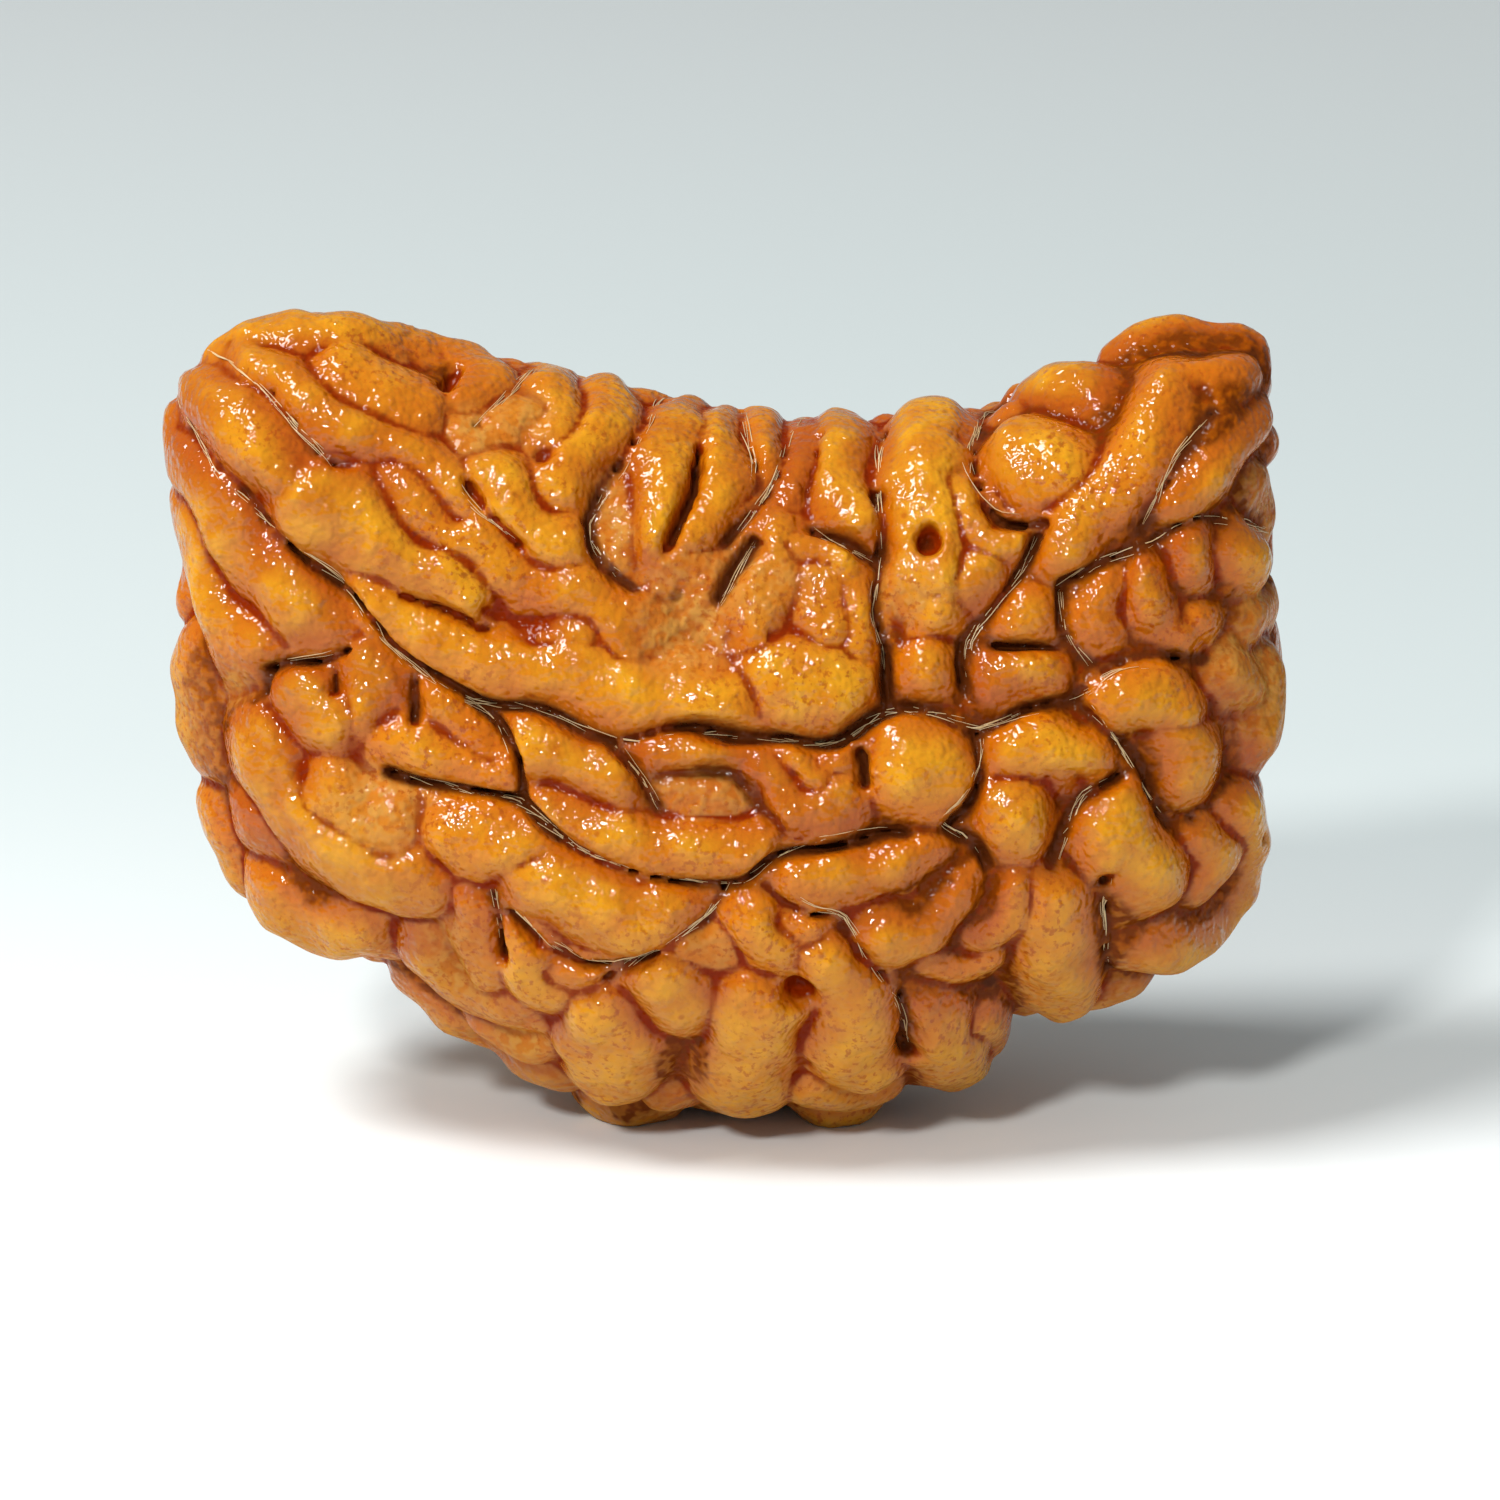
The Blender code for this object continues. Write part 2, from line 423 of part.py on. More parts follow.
def half_thickness(x, z):
    """Half the kernel's thickness: full at the belly and thin at the rim and the horns."""
    across = ((x - BELLY_CENTRE[0]) / BELLY_REACH[0])**2
    upward = ((z - BELLY_CENTRE[1]) / BELLY_REACH[1])**2
    swell = np.exp(-across - upward)
    return RIM_HALF_THICKNESS + (BELLY_HALF_THICKNESS - RIM_HALF_THICKNESS) * swell


def kernel(x, y, z):
    """Distance to the smooth kernel, negative inside it."""
    depth = inside_depth(x, z)
    half = half_thickness(x, z)
    inset = np.maximum(half - depth, 0.0)
    return np.sqrt(inset**2 + y**2) - half


def kernel_at(points):
    return kernel(points[:, 0], points[:, 1], points[:, 2])


def outward(points):
    """Unit directions away from the kernel at the given points."""
    reach = 0.05
    slope = np.empty_like(points)
    for axis in range(3):
        shift = np.zeros(3)
        shift[axis] = reach
        slope[:, axis] = kernel_at(points + shift) - kernel_at(points - shift)
    return slope / np.maximum(np.linalg.norm(slope, axis=1), 1e-9)[:, None]


def onto_kernel(points):
    """The given points, drawn to the kernel's skin."""
    for _ in range(6):
        points = points - outward(points) * kernel_at(points)[:, None] * 0.9
    return points


def seen_on_kernel(seen):
    """Where the seen places (u, v) lie on the kernel, or its nearest skin beside them."""
    eye, direction = sight_lines(seen)
    travelled = np.full(len(direction), EYE_DISTANCE - 25.0)
    best = travelled.copy()
    closest = np.full(len(direction), 1e9)
    for _ in range(60):
        gap = kernel_at(eye + travelled[:, None] * direction)
        better = gap < closest
        best = np.where(better, travelled, best)
        closest = np.where(better, gap, closest)
        travelled = travelled + np.where(gap > 0.01, np.maximum(gap * 0.7, 0.02), 0.0)
    return onto_kernel(eye + best[:, None] * direction)


def placed_ridge(item):
    """A face ridge as points on the kernel with a radius and a rise for each."""
    seen = rounded_line(item["places"], 2)
    spots = seen_on_kernel(seen)
    radii = np.linspace(item["radius"], item["end"], len(spots))
    return spots, radii, np.full(len(spots), item["rise"])


def placed_groove(item):
    return seen_on_kernel(rounded_line(item["places"], 2)), item["half_width"], item["depth"]


def drift(points, amount):
    """A slow seeded wander of the given points, so that the back does not repeat the face."""
    wave = np.random.default_rng(SEED).uniform(0.0, 2 * math.pi, (3, 3))
    shift = np.empty_like(points)
    for axis in range(3):
        shift[:, axis] = (np.sin(points[:, 0] * 0.45 + wave[axis, 0])
                          + np.sin(points[:, 2] * 0.55 + wave[axis, 1])
                          + np.sin(points[:, 1] * 0.8 + wave[axis, 2]))
    return points + amount * shift / 1.7


def half_turned(points):
    """Points of the face, carried half round the upright axis to the back."""
    turned = points * np.array((-1.0, -1.0, 1.0))
    return onto_kernel(drift(turned, BACK_SHIFT))


def runs_of(keep):
    """The unbroken stretches of a row of flags, as (first, after last)."""
    runs = []
    first = None
    for i, flag in enumerate(list(keep) + [False]):
        if flag and first is None:
            first = i
        if not flag and first is not None:
            runs.append((first, i))
            first = None
    return runs


def back_ridges(face):
    """The face's ridges on the back, kept clear of those that reach over the rim."""
    taken = np.vstack([spots for spots, _, _ in face])
    ridges = []
    for spots, radii, rises in face:
        turned = half_turned(spots)
        gap = np.linalg.norm(turned[:, None] - taken[None], axis=2).min(axis=1)
        keep = (turned[:, 1] > BACK_START_Y) & (gap > 2 * BACK_SPACING * radii)
        for first, last in runs_of(keep):
            ridges.append((turned[first:last], radii[first:last], rises[first:last]))
    return ridges


def back_grooves(face):
    grooves = []
    for spots, half_width, depth in face:
        turned = half_turned(spots)
        for first, last in runs_of(turned[:, 1] > BACK_START_Y):
            grooves.append((turned[first:last], half_width, depth))
    return grooves


def foot_knobs():
    """Low knobs round the seed's weight, each under the belly."""
    knobs = []
    for x, y in FEET:
        spot = onto_kernel(np.array(((x, y, 0.0),)))
        knobs.append((spot, np.array((FOOT_RADIUS,)), np.array((FOOT_RISE,))))
    return knobs


def clearance(point, ridges):
    """How far a point is from the flank of the nearest ridge."""
    gap = np.linalg.norm(ridges[0] - point, axis=1) - ridges[1]
    return gap.min()


def filling_ridges(placed, grooves):
    """Short seeded ridges wherever the kernel would show bare, running from horn to horn."""
    draw = np.random.default_rng(SEED)
    centres = np.vstack([spots for spots, _, _ in placed])
    radii = np.concatenate([r for _, r, _ in placed])
    cuts = np.vstack([spots for spots, _, _ in grooves])
    cut_widths = np.concatenate([np.full(len(spots), width) for spots, width, _ in grooves])
    starts = draw.uniform((-15.5, -7.0, -0.5), (15.5, 7.0, 22.5), (FILL_TRIES, 3))
    starts = onto_kernel(starts)
    starts = starts[np.abs(kernel_at(starts)) < 0.1]
    added = []
    for start in starts:
        radius = draw.uniform(*FILL_RADIUS)
        rise = draw.uniform(*FILL_RISE)
        links = draw.integers(*FILL_LINKS)
        lean = draw.uniform(-0.7, 0.7)
        if clearance(start, (centres, radii)) < FILL_CLEARANCE + radius * 0.45:
            continue
        if clearance(start, (cuts, cut_widths)) < 0.3:
            continue
        route = [start]
        for _ in range(links):
            normal = outward(route[-1][None])[0]
            heading = np.array((1.0, 0.0, lean))
            heading -= normal * heading.dot(normal)
            heading /= max(np.linalg.norm(heading), 1e-6)
            step = onto_kernel((route[-1] + heading * FILL_STRIDE)[None])[0]
            if clearance(step, (centres, radii)) < FILL_CLEARANCE + radius * 0.3:
                break
            if clearance(step, (cuts, cut_widths)) < 0.15:
                break
            route.append(step)
        spots = np.array(route)
        sizes = np.full(len(spots), radius)
        added.append((spots, sizes, np.full(len(spots), rise)))
        centres = np.vstack((centres, spots))
        radii = np.concatenate((radii, sizes))
    return added


def smooth_min(a, b, blend):
    mix = np.clip(0.5 + 0.5 * (b - a) / blend, 0.0, 1.0)
    return b + (a - b) * mix - blend * mix * (1.0 - mix)


def smooth_max(a, b, blend):
    return -smooth_min(-a, -b, blend)


def waves(points, lengths, draw):
    """A sum of seeded waves in all directions, between about -1 and 1."""
    total = np.zeros(points.shape[:-1])
    for _ in range(WAVES):
        heading = draw.normal(size=3)
        heading *= 2 * math.pi / (np.linalg.norm(heading) * draw.uniform(*lengths))
        total += np.sin(points @ heading + draw.uniform(0.0, 2 * math.pi))
    return total * math.sqrt(2.0 / WAVES) / 1.5


def wandered(points):
    """The points, moved by a slow seeded wander, and the lumps of the skin at each."""
    draw = np.random.default_rng(SEED)
    wander = np.stack([waves(points, WANDER_LENGTHS, draw) for _ in range(3)], axis=-1)
    return points + WANDER * wander, LUMPS * waves(points, LUMP_LENGTHS, draw)


class Block:
    """A regular block of sample points with the kernel's distance at each."""

    def __init__(self, step):
        self.step = step
        self.low = np.array(GRID_LOW)
        counts = np.ceil((np.array(GRID_HIGH) - self.low) / step).astype(int)
        self.axes = [self.low[i] + step * np.arange(counts[i]) for i in range(3)]
        plane_x, plane_z = np.meshgrid(self.axes[0], self.axes[2], indexing="ij")
        half = half_thickness(plane_x, plane_z)[:, None, :]
        depth = inside_depth(plane_x, plane_z)[:, None, :]
        across = self.axes[1][None, :, None]
        self.kernel = np.sqrt(np.maximum(half - depth, 0.0)**2 + across**2) - half
        self.field = self.kernel.copy()
        self.near = (self.kernel > RELIEF_FLOOR) & (self.kernel < RELIEF_TOP)
        self.points = np.stack(np.meshgrid(*self.axes, indexing="ij"), axis=-1)
        self.lumps = np.zeros(self.kernel.shape)
        self.points[self.near], self.lumps[self.near] = wandered(self.points[self.near])
        self.skin = self.kernel.copy()
        self.skin[self.near] = kernel_at(self.points[self.near])

    def window(self, spots, reach):
        """The samples near the skin round a route: where they are kept, and their places."""
        first = np.floor((spots.min(axis=0) - reach - self.low) / self.step).astype(int)
        last = np.ceil((spots.max(axis=0) + reach - self.low) / self.step).astype(int) + 1
        first = np.maximum(first, 0)
        cut = tuple(slice(first[i], max(last[i], first[i] + 1)) for i in range(3))
        near = self.near[cut]
        return cut, near, self.points[cut][near], self.skin[cut][near]


def beside(points, skin, spots, radii):
    """How far points lie to the side of a route on the kernel, and the route's radius there."""
    if len(spots) == 1:
        straight = np.linalg.norm(points - spots[0], axis=-1)
        width = np.full(straight.shape, radii[0])
    else:
        straight = np.full(points.shape[:-1], 1e6)
        width = np.zeros(points.shape[:-1])
        for i in range(len(spots) - 1):
            span = spots[i + 1] - spots[i]
            along = np.clip((points - spots[i]) @ span / max(span @ span, 1e-9), 0.0, 1.0)
            gap = np.linalg.norm(points - spots[i] - along[..., None] * span, axis=-1)
            closer = gap < straight
            straight = np.where(closer, gap, straight)
            width = np.where(closer, radii[i] + along * (radii[i + 1] - radii[i]), width)
    return np.sqrt(np.maximum(straight**2 - skin**2, 0.0)), width


def softened(values, spread):
    """A block of values, blurred evenly in all directions by the given number of steps."""
    reach = int(math.ceil(2.5 * spread))
    weights = np.exp(-0.5 * (np.arange(-reach, reach + 1) / spread)**2)
    weights /= weights.sum()
    for axis in range(3):
        total = weights[reach] * values
        for step in range(1, reach + 1):
            near = [slice(None)] * 3
            far = [slice(None)] * 3
            near[axis] = slice(0, -step)
            far[axis] = slice(step, None)
            total[tuple(near)] += weights[reach + step] * values[tuple(far)]
            total[tuple(far)] += weights[reach + step] * values[tuple(near)]
        values = total
    return values


def raise_ridges(block, ridges):
    """Round ridges that swell towards their neighbours, with a low web between them."""
    nearest = np.full(block.field.shape, 9.0)
    second = nearest.copy()
    reached = []
    for spots, radii, rises in ridges:
        cut, near, points, skin = block.window(spots, radii.max() + RIDGE_REACH)
        sideways, radius = beside(points, skin, spots, radii)
        gap = sideways - radius
        first = nearest[cut][near]
        second[cut][near] = np.minimum(second[cut][near], np.maximum(first, gap))
        nearest[cut][near] = np.minimum(first, gap)
        reached.append((cut, near, gap, radius, rises[0]))
    limit = np.interp(block.axes[0], GROWTH_CHANGE, RIDGE_GROWTH)[:, None, None]
    growth = np.clip((nearest + second) / 2, 0.0, limit)
    height = np.zeros(block.field.shape)
    for cut, near, gap, radius, rise in reached:
        swell = growth[cut][near]
        inward = np.clip((swell - gap) / (radius + swell), 0.0, 1.0)
        crest = (1.0 - APRON_SHARE) * (1.0 - (1.0 - inward)**2)**RIDGE_ROUNDNESS
        apron = APRON_SHARE * np.clip(1.0 + (swell - gap) / APRON_WIDTH, 0.0, 1.0)
        raised = np.where(apron > 0.0, rise * (crest + apron), -1.0)
        height[cut][near] = smooth_max(height[cut][near], raised, RIDGE_JOIN)
    height = softened(np.maximum(height, WEB_RISE), SOFTENING / block.step)
    meeting = MEETING_DEPTH * np.exp(-((second - nearest) / MEETING_WIDTH)**2)
    height = np.where(height > 0.0, np.maximum(height - meeting, 0.0), 0.0)
    block.field = block.kernel - height + block.lumps


def cut_grooves(block, grooves):
    """Grooves that are widest at the crests and close with a round floor."""
    for spots, half_width, depth in grooves:
        cut, near, points, skin = block.window(spots, half_width + RIDGE_REACH)
        sideways, _ = beside(points, skin, spots, np.zeros(len(spots)))
        above_floor = (skin - RIDGE_RISE + depth) / depth
        opening = half_width * np.sign(above_floor) * np.sqrt(np.abs(above_floor))
        carved = smooth_max(block.field[cut][near], opening - sideways, GROOVE_BLEND)
        block.field[cut][near] = carved


def stand_flat(block):
    """Cuts the lowest ridges off level, so that the seed stands."""
    block.field = np.maximum(block.field, FOOT_LEVEL - block.axes[2][None, None, :])


def face_corners(full, axis):
    """The four corners of every cell face across one axis."""
    first, second = [a for a in range(3) if a != axis]
    corners = []
    for a, b in ((0, 0), (1, 0), (1, 1), (0, 1)):
        cut = [slice(None)] * 3
        cut[first] = slice(a, full.shape[first] - 1 + a)
        cut[second] = slice(b, full.shape[second] - 1 + b)
        corners.append(tuple(cut))
    return corners


def cell_corners(full):
    """The eight corners of every cell."""
    corners = []
    for i in (0, 1):
        for j in (0, 1):
            for k in (0, 1):
                corners.append(tuple(slice(a, n - 1 + a) for a, n in zip((i, j, k), full.shape)))
    return corners


def close_pinches(field, step):
    """Fills the corners where two folds of the skin would meet in one line or point."""
    filled = -0.1 * step
    for _ in range(40):
        changed = 0
        inside = field < 0.0
        for axis in range(3):
            a, b, c, d = face_corners(field, axis)
            crossed = (inside[a] == inside[c]) & (inside[b] == inside[d]) & (inside[a] != inside[b])
            for corner in (a, b, c, d):
                fill = crossed & ~inside[corner]
                changed += int(fill.sum())
                field[corner] = np.where(fill, filled, field[corner])
        inside = field < 0.0
        corners = cell_corners(field)
        total = sum(inside[c].astype(int) for c in corners)
        for i in range(4):
            pair = inside[corners[i]] & inside[corners[7 - i]] & (total == 2)
            hollow = ~inside[corners[i]] & ~inside[corners[7 - i]] & (total == 6)
            changed += int(pair.sum()) + int(hollow.sum())
            for c in (corners[i - 1], corners[6 - i]):
                field[c] = np.where(pair & (field[c] >= 0.0), filled, field[c])
            field[corners[i]] = np.where(hollow, filled, field[corners[i]])
        if changed == 0:
            return


def skin_of(field, axes, step):
    """One vertex in each cell that the surface crosses, and the quads between them."""
    inside = field < 0.0
    cells = tuple(n - 1 for n in field.shape)
    total = np.zeros(cells + (3,))
    count = np.zeros(cells)
    origin = np.array([a[0] for a in axes])
    for axis in range(3):
        first, second = [a for a in range(3) if a != axis]
        near = [slice(None)] * 3
        far = [slice(None)] * 3
        near[axis] = slice(0, -1)
        far[axis] = slice(1, None)
        crossing = inside[tuple(near)] != inside[tuple(far)]
        at = np.argwhere(crossing)
        low = field[tuple(near)][crossing]
        high = field[tuple(far)][crossing]
        place = at.astype(float)
        place[:, axis] += low / (low - high)
        for a in (0, 1):
            for b in (0, 1):
                cell = at.copy()
                cell[:, first] -= a
                cell[:, second] -= b
                ok = ((cell >= 0) & (cell < np.array(cells))).all(axis=1)
                index = tuple(cell[ok].T)
                np.add.at(total, index, place[ok])
                np.add.at(count, index, 1.0)
    used = count > 0
    number = np.full(cells, -1)
    number[used] = np.arange(int(used.sum()))
    vertices = origin + step * (total[used] / count[used][:, None])
    return vertices, quads_between(inside, number)


def quads_between(inside, number):
    quads = []
    for axis in range(3):
        first, second = (axis + 1) % 3, (axis + 2) % 3
        near = [slice(None)] * 3
        far = [slice(None)] * 3
        near[axis] = slice(0, -1)
        far[axis] = slice(1, None)
        low, high = inside[tuple(near)], inside[tuple(far)]
        for leaving in (True, False):
            at = np.argwhere((low != high) & (low == leaving))
            ring = []
            for a, b in ((1, 1), (0, 1), (0, 0), (1, 0)):
                cell = at.copy()
                cell[:, first] -= a
                cell[:, second] -= b
                ring.append(number[tuple(cell.T)])
            quad = np.stack(ring, axis=1)
            quads.append(quad if leaving else quad[:, ::-1])
    return np.vstack(quads)


def largest_body(mesh):
    """Keeps the seed itself and drops loose crumbs and sealed bubbles."""
    bm = bmesh.new()
    bm.from_mesh(mesh)
    bm.faces.ensure_lookup_table()
    seen = set()
    bodies = []
    for face in bm.faces:
        if face.index in seen:
            continue
        body = []
        waiting = [face]
        seen.add(face.index)
        while waiting:
            current = waiting.pop()
            body.append(current)
            for edge in current.edges:
                for other in edge.link_faces:
                    if other.index not in seen:
                        seen.add(other.index)
                        waiting.append(other)
        bodies.append(body)
    bodies.sort(key=len)
    for body in bodies[:-1]:
        bmesh.ops.delete(bm, geom=body, context="FACES")
    bmesh.ops.triangulate(bm, faces=bm.faces)
    bm.to_mesh(mesh)
    bm.free()


def thinned(seed_object, triangles):
    """Collapses the finest triangles until about the given number is left."""
    collapse = seed_object.modifiers.new("Thin", "DECIMATE")
    collapse.ratio = min(1.0, triangles / len(seed_object.data.polygons))
    evaluated = seed_object.evaluated_get(bpy.context.evaluated_depsgraph_get())
    mesh = bpy.data.meshes.new_from_object(evaluated)
    seed_object.modifiers.clear()
    seed_object.data = mesh


def settle(mesh):
    """Scales the seed to its length, stands it on Z = 0 and centres it on the origin."""
    points = np.empty(len(mesh.vertices) * 3)
    mesh.vertices.foreach_get("co", points)
    points = points.reshape(-1, 3)
    points[:, 2] -= FOOT_LEVEL
    points[:, 2] = np.where(points[:, 2] < FOOT_SNAP, 0.0, points[:, 2])
    low, high = points.min(axis=0), points.max(axis=0)
    points[:, :2] -= (low[:2] + high[:2]) / 2
    points *= SEED_LENGTH / (high[0] - low[0])
    mesh.vertices.foreach_set("co", (points * MM).ravel())
    mesh.update()


def stone_material():
    material = bpy.data.materials.new("oiled rudraksha stone")
    material.use_nodes = True
    shader = material.node_tree.nodes["Principled BSDF"]
    shader.inputs["Base Color"].default_value = STONE_COLOUR
    shader.inputs["Roughness"].default_value = STONE_ROUGHNESS
    shader.inputs["Metallic"].default_value = 0.0
    return material


def all_relief():
    """Every ridge and groove of the seed, face and back, as routes on the kernel."""
    face = [placed_ridge(item) for item in FACE_RIDGES]
    cuts = [placed_groove(item) for item in FACE_GROOVES]
    ridges = face + foot_knobs() + back_ridges(face)
    grooves = cuts + back_grooves(cuts)
    return ridges + filling_ridges(ridges, grooves), grooves


def make_stone():
    block = Block(GRID_STEP)
    ridges, grooves = all_relief()
    raise_ridges(block, ridges)
    cut_grooves(block, grooves)
    stand_flat(block)
    close_pinches(block.field, GRID_STEP)
    vertices, quads = skin_of(block.field, block.axes, GRID_STEP)
    mesh = bpy.data.meshes.new(NODE_NAME)
    mesh.from_pydata(vertices.tolist(), [], quads.tolist())
    largest_body(mesh)
    stone = bpy.data.objects.new(NODE_NAME, mesh)
    bpy.context.collection.objects.link(stone)
    thinned(stone, TRIANGLES)
    settle(stone.data)
    stone.data.name = NODE_NAME
    stone.data.materials.clear()
    stone.data.materials.append(stone_material())
    stone.data.shade_smooth()
    return stone


def main():
    for item in list(bpy.data.objects):
        bpy.data.objects.remove(item, do_unlink=True)
    make_stone()


main()
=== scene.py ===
"""A half-moon rudraksha seed: the looks of an oiled, ribbed seed stone on a pale studio table."""

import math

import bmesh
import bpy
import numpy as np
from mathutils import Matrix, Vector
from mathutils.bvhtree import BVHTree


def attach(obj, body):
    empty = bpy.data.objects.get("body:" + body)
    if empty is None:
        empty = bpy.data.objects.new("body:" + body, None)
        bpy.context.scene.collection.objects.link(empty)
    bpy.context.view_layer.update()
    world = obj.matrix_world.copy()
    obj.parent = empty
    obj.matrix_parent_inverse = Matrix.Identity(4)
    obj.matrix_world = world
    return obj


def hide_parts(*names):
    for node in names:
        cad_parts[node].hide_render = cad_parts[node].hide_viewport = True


bl_info = {
    "name": "Half-moon rudraksha seed",
    "version": (1, 0, 0),
    "blender": (4, 5, 0),
    "location": "View3D > Sidebar > Seed",
    "description": "Grows a ribbed seed stone, its pulp fibres and a studio table",
    "category": "Object",
}

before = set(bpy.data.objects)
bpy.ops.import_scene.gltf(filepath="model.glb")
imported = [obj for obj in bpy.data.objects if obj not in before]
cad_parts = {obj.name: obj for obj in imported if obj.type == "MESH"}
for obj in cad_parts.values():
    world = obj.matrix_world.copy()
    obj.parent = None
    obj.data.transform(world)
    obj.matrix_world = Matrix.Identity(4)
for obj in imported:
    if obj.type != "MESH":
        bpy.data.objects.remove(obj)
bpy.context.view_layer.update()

NODE_NAME = "rudraksha_stone"
MM = 0.001

# Driving dimensions, in millimetres
SEED_LENGTH = 30.1
BELLY_HALF_THICKNESS = 6.05
RIM_HALF_THICKNESS = 3.05
BELLY_CENTRE = (0.4, 7.2)
BELLY_REACH = (13.0, 7.4)
KERNEL_INSET = 0.08
RIDGE_RISE = 0.95
RISE_BASE = 0.5
RISE_PER_RADIUS = 0.5
RISE_LIMIT = 1.1
RIDGE_GROWTH = (0.3, -0.1)
GROWTH_CHANGE = (2.0, 6.0)
RIDGE_ROUNDNESS = 0.5
RIDGE_JOIN = 0.12
WEB_RISE = 0.34
APRON_SHARE = 0.25
APRON_WIDTH = 0.45
SOFTENING = 0.3
MEETING_DEPTH = 0.18
MEETING_WIDTH = 0.36
GROOVE_BLEND = 0.12
FOOT_LEVEL = 0.05

# Unevenness of the relief, in millimetres: how far, and over what lengths
WANDER = 0.15
WANDER_LENGTHS = (2.2, 4.5)
LUMPS = 0.075
LUMP_LENGTHS = (1.1, 2.4)
WAVES = 9

# How the seed's shown face is laid out: seen from 16 degrees above, in millimetres
EYE_ELEVATION = math.radians(16.0)
EYE_DISTANCE = 166.7
EYE_AIM = (0.533, 9.867)
EYE_FOOT_Y = -1.0
SIGHT_MARGIN = 25.0
SIGHT_STEPS = 60

# Fine skin of the shown seed
GRID_STEP = 0.14
TRIANGLES = 190000
GRID_LOW = (-17.2, -9.0, -1.8)
GRID_HIGH = (17.2, 9.0, 24.6)
MAP_STEP = 0.12
SEED = 108
FOOT_SNAP = 0.03
RIDGE_REACH = 1.4
RELIEF_FLOOR = -1.6
RELIEF_TOP = 2.1
EVENING_ROUNDS = 2
PINCH_ROUNDS = 40

# Strands of pulp fibre, in millimetres
STRAND_STEP = 0.22
STRAND_LENGTH = (1.1, 2.6)
STRAND_LIFT = (-0.02, 0.05)
STRAND_SINK = 0.03
STRAND_JUMP = 0.2
STRAND_DRIFT = 0.11
STRAND_THICKNESS = (0.6, 1.3)
STRAND_SIDES = 5
STRAND_POINTS = 5
STRAND_START = 2.6
STRAND_SPAN = 4.0
FIBRED_WIDTH = 0.07
PIT_WIDTH = 0.29

# How far the dark of the gaps and the partly painted shade of the fissures reach, in millimetres
WEB_EDGE = 0.16
FISSURE_STAIN = 0.3

# What counts as a low ridge, a full crease and a full hollow, in millimetres
LOW_RISE = 0.72
FULL_CREASE = 0.03
FULL_HOLLOW = 0.28

# Sizes of the patterns in the colours of the stone and the fibres, in millimetres
DRIFT_SIZE = 2.2
MOTTLE_SIZE = 0.5
SPECK_SIZE = 0.1
FELT_SIZE = 0.15
FIBRE_STAIN_SIZE = 0.6

# From where to where along Y the table is painted grey as shade, and then paler again as painted
# light, in millimetres
PAINTED_TABLE_SHADE = (-30.0, 40.0)
PAINTED_FAR_TABLE_LIGHT = (60.0, 240.0)

# How much of the oil's gloss a crest carries, and how much of it dry skin, the web and the folds take
# away
OIL_GLOSS = 0.85
GLOSS_LOST = 0.68
GLOW_DEPTH = 0.45

# Lights, in metres: where each hangs and how large it is, and what both are turned to
SOFTBOX_PLACE = (-0.15, -0.07, 0.28)
SOFTBOX_SIZE = (0.11, 0.095)
FRONT_LIGHT_PLACE = (-0.13, -0.3, 0.25)
FRONT_LIGHT_SIZE = (0.05, 0.05)
LIGHT_AIM = (0.0, 0.0, 0.01)
ROOM_COLOUR = "#eef4f6"

# The kernel's outline as it is seen, about one ridge height inside the seed's own outline
KERNEL_OUTLINE = (
    (-14.0, 15.5), (-14.4, 18.2), (-13.6, 19.9), (-11.4, 20.8), (-8.8, 20.35), (-6.0, 19.6),
    (-3.0, 18.85), (0.0, 18.25), (3.0, 18.1), (6.0, 18.35), (9.0, 19.3), (11.5, 20.5),
    (13.9, 20.3), (14.0, 18.2), (14.1, 14.5), (14.2, 11.5), (13.5, 7.4), (11.9, 4.9),
    (9.1, 3.8), (7.6, 3.5), (6.0, 1.9), (3.0, 1.05), (0.0, 0.95), (-3.0, 1.15), (-6.0, 2.5),
    (-9.2, 4.8), (-12.0, 6.1), (-13.5, 9.0), (-14.1, 12.5),
)


def ridge(radius, *places, end=None, rise=None):
    """A rounded ridge or knob: its radius, its radius at the far end, its height and its route."""
    far = radius if end is None else end
    height = min(RISE_BASE + RISE_PER_RADIUS * radius, RISE_LIMIT) if rise is None else rise
    return {"radius": radius, "end": far, "rise": height, "places": places}


def groove(half_width, depth, *places):
    """A fissure or crease: its half width at the crests and its depth below them."""
    return {"half_width": half_width, "depth": depth, "places": places}


